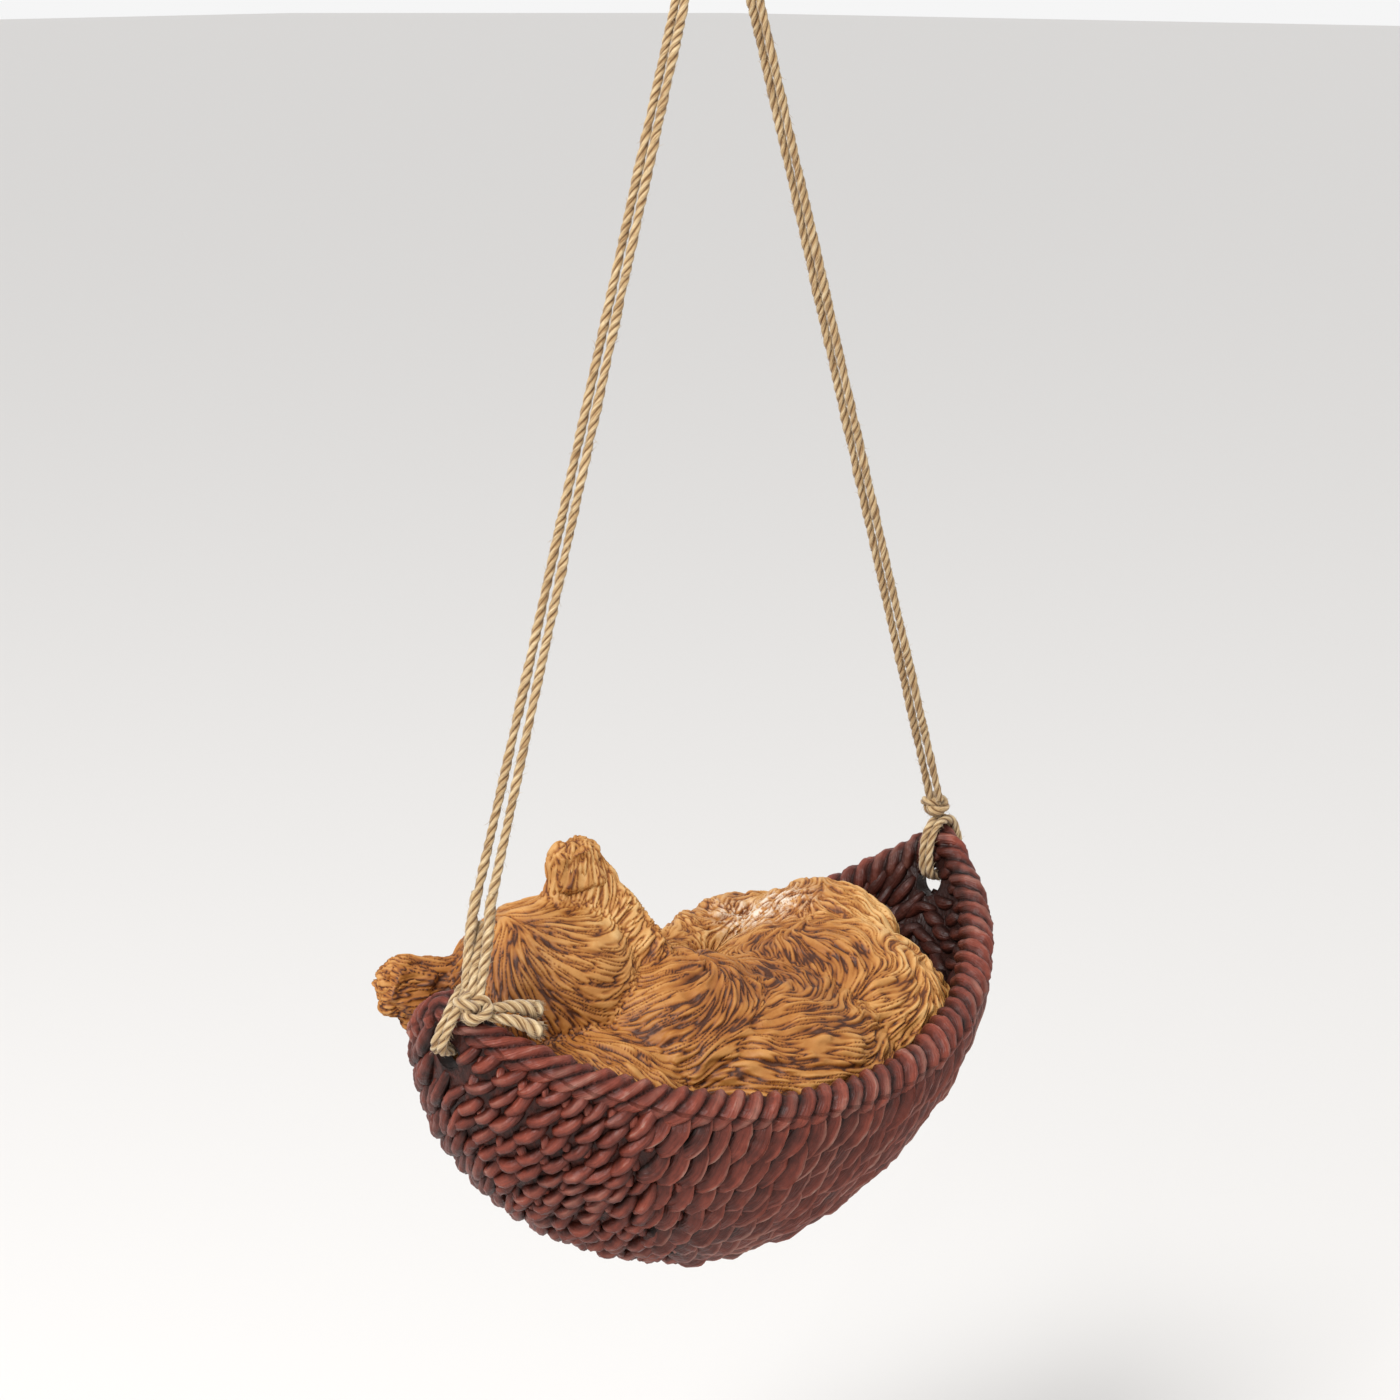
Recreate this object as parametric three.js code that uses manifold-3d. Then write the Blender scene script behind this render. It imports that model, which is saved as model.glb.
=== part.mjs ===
// A hanging figurine: a cast resin cat asleep in a cast resin basket, which hangs by its two ends
// from doubled jute twine. Millimetres, +Z up, +X along the basket towards the cat's rump, and the
// cat's face towards +Y. The origin is the inside top of the hanging loop, where a hook bears.
import * as THREE from "three";
import { mergeVertices } from "three/addons/utils/BufferGeometryUtils.js";
import { ParametricGeometry } from "three/addons/geometries/ParametricGeometry.js";
import Module from "manifold-3d";

const wasm = await Module();
wasm.setup();

// ---- driving dimensions -------------------------------------------------------------------------
const TWINE_D = 2.0; // one jute strand
const GAP = 0.4; // clear air between neighbouring pieces
const LOOP_INSIDE_H = 24; // hanging loop, from the hook to its foot
const LOOP_INSIDE_W = 13;
const TOP_KNOT_R = 4.6;
const BAIL_H = 239; // from the datum line up to where the legs of the twine meet

const RIM_HALF_LENGTH = 82.3; // all measured on the crest of the border round the mouth
const RIM_HALF_WIDTH = 43.9;
const RIM_POINTEDNESS = 1.28; // 1 is an ellipse, more is a boat with pointed ends
const TIP_RISE = 11.4; // crest above the datum line at the two tips
const RIM_DIP = 29.3; // how far the crest sinks from the tips to the middle
const RIM_DIP_POWER = 1.29;
const BORDER_R_TIP = 3.0; // the border is a round roll, thinner at the tips
const BORDER_R_MIDDLE = 3.9;

const KEEL_DEPTH = 67.2; // keel below the datum line
const KEEL_SHIFT = -7.5; // the keel lies nearer the head's end
const WALL = 5.0;
const WALL_POWER = 1.13; // powers of the wall's section: 1 and 1 are an ellipse
const KEEL_POWER = 1.18;
const HOLE_R = 3.4; // one through each end, for the twine
const HOLE_DROP = 1.5; // the holes lie this far below the datum line

const CAT_BASE_DEPTH = 56; // the cat's flat underside below the datum line
const KNOT_R = 2.6;
const LEFT_KNOT_AT = [-81, -6.2, 11.4]; // from the middle of the datum line, as every place below is
const RIGHT_KNOT_AT = [81.6, 1.4, 16.6];
const BUNDLE_TOP_RISE = 27; // where the left leg's two strands run together
const LEFT_LEG_AIM = -81.4; // where each leg would cross the datum line
const RIGHT_LEG_AIM = 86.2;

// ---- worked out from them -----------------------------------------------------------------------
const TWINE_R = TWINE_D / 2;
const APEX_Z = -LOOP_INSIDE_H - TWINE_D - GAP - TOP_KNOT_R;
const DATUM_Z = APEX_Z - BAIL_H; // a level line end to end through the basket, just above its holes
const KEEL_Z = DATUM_Z - KEEL_DEPTH;
const CAT_BASE_Z = DATUM_Z - CAT_BASE_DEPTH;
const RIGHT_ANGLE = Math.PI / 2;

// ---- materials ----------------------------------------------------------------------------------
const paint = (color, roughness) => new THREE.MeshStandardMaterial({ color, roughness, metalness: 0 });
const WICKER_PAINT = paint(0x6b3d34, 0.6);
const FUR_PAINT = paint(0xc08a4a, 0.7);
const JUTE = paint(0xc9a97c, 0.95);
const EPOXY = paint(0xb9a98a, 0.35);

// ---- solids and back ----------------------------------------------------------------------------
const vec = (x, y, z) => new THREE.Vector3(x, y, z);
const fromDatum = (x, y, z) => vec(x, y, z + DATUM_Z);

function solid(geometry) {
  const bare = new THREE.BufferGeometry().setAttribute("position", geometry.getAttribute("position"));
  bare.setIndex(geometry.index);
  const merged = mergeVertices(bare, 1e-4);
  return new wasm.Manifold(
    new wasm.Mesh({
      numProp: 3,
      vertProperties: merged.attributes.position.array,
      triVerts: new Uint32Array(merged.index.array),
    }),
  );
}

function geometryOf(body) {
  const mesh = body.getMesh();
  return new THREE.BufferGeometry()
    .setAttribute("position", new THREE.BufferAttribute(mesh.vertProperties, 3))
    .setIndex(new THREE.BufferAttribute(mesh.triVerts, 1));
}

function ellipsoid(centre, radii, turn, segments) {
  const ball = new THREE.SphereGeometry(1, segments, Math.round(segments * 0.6));
  ball.rotateX(RIGHT_ANGLE).scale(...radii);
  if (turn) ball.applyMatrix4(turn);
  return solid(ball.translate(centre.x, centre.y, centre.z));
}

// A round-sided bar that tapers from one end to the other: half widths at each end, one half depth.
function taperedBar(from, to, halfWidthFrom, halfWidthTo, halfDepth, depthWay, sides = 12) {
  const axis = to.clone().sub(from);
  const length = axis.length();
  const bar = new THREE.CylinderGeometry(halfWidthTo / halfWidthFrom, 1, length, sides, 2);
  bar.scale(halfWidthFrom, 1, halfDepth).translate(0, length / 2, 0);
  const up = axis.normalize();
  const across = new THREE.Vector3().crossVectors(up, depthWay).normalize();
  const through = new THREE.Vector3().crossVectors(across, up);
  bar.applyMatrix4(new THREE.Matrix4().makeBasis(across, up, through));
  return solid(bar.translate(from.x, from.y, from.z));
}

function tube(points, radius, sides, steps) {
  const section = new THREE.Shape();
  for (let side = 0; side < sides; side++) {
    const angle = ((side + 0.5) / sides) * 2 * Math.PI;
    const corner = [radius * Math.cos(angle), radius * Math.sin(angle)];
    if (side) section.lineTo(...corner);
    else section.moveTo(...corner);
  }
  section.closePath();
  const extrudePath = new THREE.CatmullRomCurve3(points, false, "centripetal");
  return new THREE.ExtrudeGeometry(section, { steps, extrudePath, bevelEnabled: false });
}

const part = new THREE.Group();

function add(name, geometry, material) {
  const mesh = new THREE.Mesh(geometry, material);
  mesh.name = name;
  part.add(mesh);
}

// ---- basket -------------------------------------------------------------------------------------
const crestZ = (angle) => DATUM_Z + TIP_RISE - RIM_DIP * Math.abs(Math.sin(angle)) ** RIM_DIP_POWER;
const borderRadius = (angle) => BORDER_R_TIP + (BORDER_R_MIDDLE - BORDER_R_TIP) * Math.abs(Math.sin(angle));

// A point in plan at an angle round the mouth; outset is measured out from the crest.
function planPoint(angle, outset) {
  const sine = Math.sin(angle);
  return [
    (RIM_HALF_LENGTH + outset) * Math.cos(angle),
    (RIM_HALF_WIDTH + outset) * Math.sign(sine) * Math.abs(sine) ** RIM_POINTEDNESS,
  ];
}

// A point of the wall: depth is measured in from its outer face, sweep runs from 0 at the border to 1 at the keel.
function wallPoint(angle, depth, sweep, target) {
  const reach = Math.cos(sweep * RIGHT_ANGLE) ** WALL_POWER;
  const fall = Math.sin(sweep * RIGHT_ANGLE) ** KEEL_POWER;
  const [x, y] = planPoint(angle, borderRadius(angle) - depth);
  const top = crestZ(angle) - borderRadius(angle);
  return target.set(x * reach + KEEL_SHIFT * fall, y * reach, top + (KEEL_Z + depth - top) * fall);
}

// A point of the border: turn runs from 0 on its outer side over the crest to pi on its inner side.
function borderPoint(angle, turn, grow, target) {
  const radius = borderRadius(angle) + grow;
  const [x, y] = planPoint(angle, radius * Math.cos(turn));
  return target.set(x, y, crestZ(angle) - borderRadius(angle) + radius * Math.sin(turn));
}

// The whole shell, grown by some clearance on every side; outset moves only its outer face further out.
function basketShell(grow, outset, around) {
  const outerRows = 13;
  const borderRows = 7;
  const innerRows = 10;
  const rows = outerRows + borderRows + innerRows;
  const borderEnd = Math.PI * 1.2;
  const innerStart = 0.07;
  const at = (u, v, target) => {
    const angle = u * 2 * Math.PI;
    const row = Math.round(v * rows);
    if (row <= outerRows) {
      wallPoint(angle, -grow - outset, 1 - row / outerRows, target);
    } else if (row <= outerRows + borderRows) {
      borderPoint(angle, ((row - outerRows) / borderRows) * borderEnd, grow, target);
    } else {
      const step = (row - outerRows - borderRows) / innerRows;
      wallPoint(angle, WALL + grow, innerStart + (1 - innerStart) * step, target);
    }
  };
  return solid(new ParametricGeometry(at, around, rows));
}

function twineHoles() {
  const drill = new THREE.CylinderGeometry(HOLE_R, HOLE_R, 3 * RIM_HALF_LENGTH, 16).rotateZ(RIGHT_ANGLE);
  return solid(drill.translate(0, 0, DATUM_Z - HOLE_DROP));
}

add("basket", geometryOf(basketShell(0, 0, 56).subtract(twineHoles())), WICKER_PAINT);

// ---- cat ----------------------------------------------------------------------------------------
const HEAD = fromDatum(-37.5, 18, -4);
const HEAD_RIGHT = vec(0.752, -0.395, 0.529); // towards the cat's own right ear
const HEAD_UP = vec(-0.272, 0.544, 0.793);
const HEAD_FORWARD = new THREE.Vector3().crossVectors(HEAD_UP, HEAD_RIGHT).normalize();
const headTurn = new THREE.Matrix4().makeBasis(HEAD_RIGHT, HEAD_FORWARD, HEAD_UP);
const onHead = (right, forward, up) => vec(right, forward, up).applyMatrix4(headTurn).add(HEAD);

function catHead() {
  const earDepth = 5.5;
  const earRootHalfWidth = 15;
  const earTipHalfWidth = 4.8;
  const ear = (root, tip) => taperedBar(root, tip, earRootHalfWidth, earTipHalfWidth, earDepth, HEAD_FORWARD);
  return [
    ellipsoid(HEAD, [23, 21, 20], headTurn, 24),
    ellipsoid(onHead(0, 17, -6), [12, 12, 9], headTurn, 16), // muzzle
    ear(onHead(9, -2, -4), fromDatum(-31, 14.5, 28.4)),
    ear(onHead(-9, 0, -2), fromDatum(-69, 34, 3)),
  ];
}

function catBody() {
  return [
    ellipsoid(fromDatum(2, -9, -31), [38, 32, 28], null, 26), // ribs and shoulders
    ellipsoid(fromDatum(32, -4, -28), [32, 32, 28], null, 26), // rump
    ellipsoid(fromDatum(46, 8, -14.5), [20, 20, 18], null, 20), // thigh
    ellipsoid(fromDatum(-15, -2, -19), [27, 24, 22], null, 22), // nape
    ellipsoid(fromDatum(-41, -2, -25), [27, 22, 18], null, 20), // ruff and shoulder under the head
    ellipsoid(fromDatum(-10, 22, -28), [20, 12, 13], null, 18), // folded foreleg
  ];
}

function catTail() {
  const route = [[60, -8, -34], [65, 8, -27], [59, 20, -16], [42, 26, -9], [24, 27, -9.5], [6, 24, -13]];
  return solid(tube(route.map((place) => fromDatum(...place)), 7.5, 10, 18));
}

// Everything of a column below the given height, to cut with.
function below(height) {
  return solid(new THREE.BoxGeometry(400, 200, 100).translate(0, 0, height - 50));
}

// The cut leaves slivers where the lobes nearly touch, so only the one big casting is kept.
function catSolid() {
  let cat = catTail();
  for (const piece of [...catBody(), ...catHead()]) cat = cat.add(piece);
  const castings = cat.subtract(basketShell(GAP, 60, 56)).subtract(below(CAT_BASE_Z)).decompose();
  return castings.sort((first, second) => second.volume() - first.volume())[0];
}

add("cat", geometryOf(catSolid()), FUR_PAINT);

// Cured epoxy that fills the hollow under the cat's flat base.
function epoxyBed() {
  const blob = new THREE.SphereGeometry(1, 24, 14).rotateX(RIGHT_ANGLE).scale(26, 13, 9);
  const lens = solid(blob.translate(KEEL_SHIFT, 0, CAT_BASE_Z));
  const space = below(CAT_BASE_Z - GAP).subtract(basketShell(GAP, 60, 56));
  return lens.intersect(space);
}

add("epoxy_bed", geometryOf(epoxyBed()), EPOXY);

// ---- twine at the basket ------------------------------------------------------------------------
// A closed ring through points; its section is an oval, thick in the ring's plane and wide out of it.
function ring(points, thick, wide, steps) {
  const sides = 8;
  const path = new THREE.CatmullRomCurve3(points, true, "centripetal");
  const at = (u, v, target) => {
    const turn = -u * 2 * Math.PI;
    const tangent = path.getTangentAt(v % 1);
    const through = vec(-tangent.z, 0, tangent.x).normalize();
    const across = new THREE.Vector3().crossVectors(through, tangent);
    target.copy(path.getPointAt(v % 1));
    target.addScaledVector(through, (thick / 2) * Math.cos(turn));
    target.addScaledVector(across, (wide / 2) * Math.sin(turn));
  };
  return geometryOf(solid(new ParametricGeometry(at, sides, steps)));
}

const knot = (name, place, radii) =>
  add(name, geometryOf(ellipsoid(fromDatum(...place), radii, null, 14)), JUTE);

// Doubled twine that goes through a hole and up round the border on both of its sides.
const HITCHES = {
  left_hitch: [
    [-83, 0, -0.6], [-87.4, -0.2, 0.8], [-88.3, -0.8, 6.5], [-85.2, -0.9, 12.2],
    [-80, -0.7, 12.4], [-76.8, -0.4, 8], [-76.8, 0, 2], [-79.2, 0, -0.4],
  ],
  right_hitch: [
    [82, 0, -0.6], [86.6, 0, 0.8], [87.9, 0, 6.5], [85.2, 0, 12.2],
    [80, 0, 12.4], [76.8, 0, 8], [76.6, 0, 2], [78.8, 0, -0.4],
  ],
};
const DOUBLED_W = TWINE_D * 1.9;
for (const [name, route] of Object.entries(HITCHES))
  add(name, ring(route.map((place) => fromDatum(...place)), TWINE_D, DOUBLED_W, 36), JUTE);

knot("left_knot", LEFT_KNOT_AT, [KNOT_R, KNOT_R, KNOT_R]);
knot("right_knot", RIGHT_KNOT_AT, [KNOT_R, KNOT_R, KNOT_R * 0.85]);

// The two cut ends that stand out of the left knot, along the border.
const TAILS = {
  left_tail_upper: { rootRise: 1.3, end: [-69.6, -11.6, 8] },
  left_tail_lower: { rootRise: -1.3, end: [-72, -14.6, 4.6] },
};
const TAIL_ROOT_REACH = KNOT_R + GAP + 0.6;
for (const [name, tail] of Object.entries(TAILS)) {
  const centre = fromDatum(...LEFT_KNOT_AT);
  const end = fromDatum(...tail.end);
  const root = centre.clone().add(end.clone().sub(centre).setLength(TAIL_ROOT_REACH));
  root.z += tail.rootRise;
  add(name, geometryOf(taperedBar(root, end, 1.2, 2.0, 1.1, vec(0, 0.5, 1), 10)), JUTE);
}

// ---- twine above the basket ---------------------------------------------------------------------
// A place on a leg of the twine, at a height above the datum line.
const onLeg = (aim, rise, y) => fromDatum(aim * (1 - rise / BAIL_H), y, rise);

function leftBundle() {
  const top = onLeg(LEFT_LEG_AIM, BUNDLE_TOP_RISE, 0);
  const centre = fromDatum(...LEFT_KNOT_AT);
  const foot = centre.clone().add(top.clone().sub(centre).setLength(KNOT_R + GAP));
  add("left_bundle", geometryOf(taperedBar(foot, top, 1.5, 3.2, 1.6, vec(1, 0, 0.3))), JUTE);
}

const LEG_HEAD_RISE = BAIL_H - TOP_KNOT_R - 1.2;
const LEGS = {
  left: { aim: LEFT_LEG_AIM, footRise: BUNDLE_TOP_RISE + 1.6, footSpread: 2.1 },
  right: { aim: RIGHT_LEG_AIM, footRise: RIGHT_KNOT_AT[2] + KNOT_R + 0.7, footSpread: 1.4 },
};
const HEAD_SPREAD = 1.2; // half the distance between a leg's two strands at the top knot
const LEG_STEPS = 20;

leftBundle();
for (const [sideName, leg] of Object.entries(LEGS))
  for (const [faceName, face] of Object.entries({ front: -1, back: 1 })) {
    const points = [0, 0.25, 0.5, 0.75, 1].map((share) => {
      const spread = leg.footSpread + (HEAD_SPREAD - leg.footSpread) * Math.sqrt(share);
      return onLeg(leg.aim, leg.footRise + (LEG_HEAD_RISE - leg.footRise) * share, face * spread);
    });
    add(`twine_${sideName}_${faceName}`, tube(points, TWINE_R, 8, LEG_STEPS), JUTE);
  }

add("top_knot", geometryOf(ellipsoid(vec(0, 0, APEX_Z), [TOP_KNOT_R, 4, TOP_KNOT_R], null, 16)), JUTE);

// The loop that goes over a hook: a teardrop of one strand, closed at its foot on the knot.
function hangingLoop() {
  const half = LOOP_INSIDE_W / 2 + TWINE_R;
  const foot = -LOOP_INSIDE_H - TWINE_R;
  const outline = [
    [0, foot], [2.6, foot + 4], [half, -9], [half * 0.72, -1.6],
    [0, TWINE_R], [-half * 0.72, -1.6], [-half, -9], [-2.6, foot + 4],
  ];
  return ring(outline.map(([x, z]) => vec(x, 0, z)), TWINE_D, TWINE_D, 32);
}

add("hanging_loop", hangingLoop(), JUTE);

export default part;
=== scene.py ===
"""A resin cat asleep in a resin wicker basket, hung from jute twine.

Sizes are in millimetres about the datum, the middle of the line between the basket's two holes,
with +X along the basket, +Y towards the cat's face and +Z up. to_frame() turns them into the row frame.
"""
import logging
import math
from dataclasses import dataclass, field
from enum import Enum

import bpy
import numpy as np
from mathutils import Matrix, Vector


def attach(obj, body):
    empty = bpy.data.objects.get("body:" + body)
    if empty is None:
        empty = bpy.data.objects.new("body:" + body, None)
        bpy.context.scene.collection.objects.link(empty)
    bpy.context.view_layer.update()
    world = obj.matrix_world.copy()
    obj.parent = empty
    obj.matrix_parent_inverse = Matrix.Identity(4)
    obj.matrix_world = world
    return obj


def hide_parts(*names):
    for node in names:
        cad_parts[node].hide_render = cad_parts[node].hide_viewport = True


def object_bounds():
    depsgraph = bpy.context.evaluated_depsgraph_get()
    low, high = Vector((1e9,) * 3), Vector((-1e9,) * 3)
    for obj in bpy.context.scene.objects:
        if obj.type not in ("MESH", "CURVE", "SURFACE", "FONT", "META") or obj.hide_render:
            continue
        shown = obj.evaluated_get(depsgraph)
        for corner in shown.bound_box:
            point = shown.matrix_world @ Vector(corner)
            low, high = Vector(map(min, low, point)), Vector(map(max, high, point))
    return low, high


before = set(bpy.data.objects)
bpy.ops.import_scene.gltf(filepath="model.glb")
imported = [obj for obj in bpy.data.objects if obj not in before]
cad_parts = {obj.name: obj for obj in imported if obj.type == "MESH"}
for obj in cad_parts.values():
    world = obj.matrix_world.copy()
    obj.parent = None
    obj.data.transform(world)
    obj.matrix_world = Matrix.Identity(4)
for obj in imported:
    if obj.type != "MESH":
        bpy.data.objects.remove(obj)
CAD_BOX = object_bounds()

LOG = logging.getLogger("figurine")
MM = 0.001
DATUM_Z = -270.0  # the datum lies this far under the inside top of the hanging loop
TURN = 2.0 * math.pi


class Body(Enum):
    """The two bodies that the hinge at the knots joins."""

    HANGER = "hanger"
    BASKET = "basket"


# ---- helpers ------------------------------------------------------------------------------------
def vec(*values: float) -> np.ndarray:
    """Three numbers as an array."""
    return np.array(values, dtype=float)


def unit(vectors: np.ndarray) -> np.ndarray:
    """Vectors along the last axis, made one long."""
    return vectors / (np.linalg.norm(vectors, axis=-1, keepdims=True) + 1e-12)


def to_frame(points: np.ndarray) -> np.ndarray:
    """Millimetres about the datum as metres in the row frame."""
    return (np.asarray(points, dtype=float) + vec(0, 0, DATUM_Z)) * MM


def smoothstep(low: float, high: float, values: np.ndarray) -> np.ndarray:
    """A smooth rise from 0 at low to 1 at high."""
    share = np.clip((values - low) / (high - low), 0.0, 1.0)
    return share * share * (3.0 - 2.0 * share)


def srgb(code: str) -> tuple[float, float, float, float]:
    """An sRGB hex colour as linear RGBA.

    Args:
        code: six hex digits.
    Returns:
        Linear red, green and blue, and an alpha of 1.
    """
    parts = [int(code[i : i + 2], 16) / 255 for i in (0, 2, 4)]
    linear = [c / 12.92 if c <= 0.04045 else ((c + 0.055) / 1.055) ** 2.4 for c in parts]
    return (*linear, 1.0)


def grid_faces(rows: int, columns: int, start: int = 0, closed_rows: bool = False) -> np.ndarray:
    """Quads of a grid whose columns close on themselves.

    Args:
        rows: number of rings.
        columns: points in each ring.
        start: index of the first point.
        closed_rows: whether the last ring joins the first one.
    Returns:
        An array of quads, four point indices each.
    """
    row = np.arange(rows if closed_rows else rows - 1)[:, None]
    column = np.arange(columns)[None, :]
    below, beside = (row + 1) % rows, (column + 1) % columns
    around = ((row, column), (row, beside), (below, beside), (below, column))
    corners = [ring * columns + place for ring, place in around]
    return np.stack(np.broadcast_arrays(*corners), axis=-1).reshape(-1, 4) + start


def end_fans(rows: int, columns: int, count: int) -> list[list[int]]:
    """Triangles that close both ends of a tube of rings onto the last two of its points.

    Args:
        rows: number of rings.
        columns: points in each ring.
        count: number of points in all, the two end points last.
    Returns:
        The triangles.
    """
    last = (rows - 1) * columns
    faces = []
    for k in range(columns):
        after = (k + 1) % columns
        faces += [[count - 2, after, k], [count - 1, last + k, last + after]]
    return faces


def around_line(
    line: np.ndarray, side: np.ndarray, other: np.ndarray, around: np.ndarray, radius: np.ndarray
) -> np.ndarray:
    """Rings of points about a line, by their angles from side towards other and their radii."""
    return (
        line[:, None, :]
        + side[:, None, :] * (np.cos(around) * radius)[..., None]
        + other[:, None, :] * (np.sin(around) * radius)[..., None]
    )


def lengths_along(line: np.ndarray) -> np.ndarray:
    """How far along a line each of its points is."""
    return np.concatenate([[0], np.cumsum(np.linalg.norm(np.diff(line, axis=0), axis=1))])


def line_length(line: np.ndarray) -> float:
    """The length of a line through points."""
    return float(np.linalg.norm(np.diff(line, axis=0), axis=1).sum())


class MeshParts:
    """Points, faces and per-point values that become one mesh."""

    def __init__(self) -> None:
        """Starts empty."""
        self.points: list[np.ndarray] = []
        self.faces: list[list[int]] = []
        self.values: dict[str, list[np.ndarray]] = {}
        self.count = 0

    def add(self, points: np.ndarray, faces: list | np.ndarray, **values: np.ndarray) -> None:
        """Adds one part.

        Args:
            points: its points, in millimetres about the datum.
            faces: its faces, by index into those points.
            values: per-point numbers or vectors by name.
        """
        self.points.append(points)
        self.faces.extend((np.asarray(face) + self.count).tolist() for face in faces)
        for name, numbers in values.items():
            self.values.setdefault(name, []).append(np.asarray(numbers, dtype=float))
        self.count += len(points)

    def build(self, name: str) -> bpy.types.Object:
        """Makes the mesh object, with its place in its mesh."""
        mesh = bpy.data.meshes.new(name)
        mesh.from_pydata(to_frame(np.concatenate(self.points)).tolist(), [], self.faces)
        for label, blocks in self.values.items():
            write_attribute(mesh, label, np.concatenate(blocks))
        mesh.polygons.foreach_set("use_smooth", [True] * len(mesh.polygons))
        mesh.update()
        piece = bpy.data.objects.new(name, mesh)
        bpy.context.scene.collection.objects.link(piece)
        return piece


def write_attribute(mesh: bpy.types.Mesh, label: str, numbers: np.ndarray) -> None:
    """Stores one number or vector per point on a mesh."""
    if numbers.ndim == 1:
        mesh.attributes.new(label, "FLOAT", "POINT").data.foreach_set("value", numbers)
    else:
        mesh.attributes.new(label, "FLOAT_VECTOR", "POINT").data.foreach_set("vector", numbers.ravel())


def points_of(piece: bpy.types.Object) -> np.ndarray:
    """A mesh's points, in millimetres about the datum."""
    flat = np.empty(len(piece.data.vertices) * 3)
    piece.data.vertices.foreach_get("co", flat)
    return flat.reshape(-1, 3) / MM - vec(0, 0, DATUM_Z)


def move_points(piece: bpy.types.Object, points: np.ndarray) -> None:
    """Puts a mesh's points at places in millimetres about the datum."""
    piece.data.vertices.foreach_set("co", to_frame(points).ravel())
    piece.data.update()


def select_only(*pieces: bpy.types.Object) -> None:
    """Selects these objects and no others, the first one active."""
    bpy.ops.object.select_all(action="DESELECT")
    for piece in pieces:
        piece.select_set(True)
    bpy.context.view_layer.objects.active = pieces[0]


def apply_modifier(piece: bpy.types.Object, kind: str, **settings: object) -> None:
    """Adds a modifier with its settings and applies it."""
    modifier = piece.modifiers.new(kind.title(), kind)
    for key, value in settings.items():
        setattr(modifier, key, value)
    select_only(piece)
    bpy.ops.object.modifier_apply(modifier=modifier.name)


def edit_whole(piece: bpy.types.Object, operator: object, **settings: object) -> None:
    """Runs one mesh operator on all of a piece."""
    select_only(piece)
    bpy.ops.object.mode_set(mode="EDIT")
    bpy.ops.mesh.select_all(action="SELECT")
    operator(**settings)
    bpy.ops.object.mode_set(mode="OBJECT")


def shape_mesh(piece: bpy.types.Object, centre: np.ndarray, half_axes: list[np.ndarray]) -> None:
    """Stretches and turns a unit mesh onto three half axes, in metres, and moves it to a centre."""
    turn = Matrix([[float(axis[row]) for axis in half_axes] for row in range(3)]).to_4x4()
    piece.data.transform(Matrix.Translation(Vector(to_frame(centre))) @ turn)


class LatticeNoise:
    """Smooth seeded noise in space, from -1 to 1."""

    SIZE = 48

    def __init__(self, seed: int) -> None:
        """Draws the lattice."""
        self.table = np.random.default_rng(seed).uniform(-1, 1, (self.SIZE,) * 3)

    def __call__(self, points: np.ndarray, cell: float) -> np.ndarray:
        """The noise at points, for a lattice cell of the given size in millimetres."""
        scaled = points / cell
        low = np.floor(scaled)
        share = scaled - low
        share = share * share * (3 - 2 * share)
        first = low.astype(int) % self.SIZE
        last = (first + 1) % self.SIZE
        total = np.zeros(len(points))
        for corner in range(8):
            picks = [(corner >> axis) & 1 for axis in range(3)]
            index = [last[:, axis] if pick else first[:, axis] for axis, pick in enumerate(picks)]
            weight = np.ones(len(points))
            for axis, pick in enumerate(picks):
                weight = weight * (share[:, axis] if pick else 1 - share[:, axis])
            total += weight * self.table[index[0], index[1], index[2]]
        return total


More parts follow.
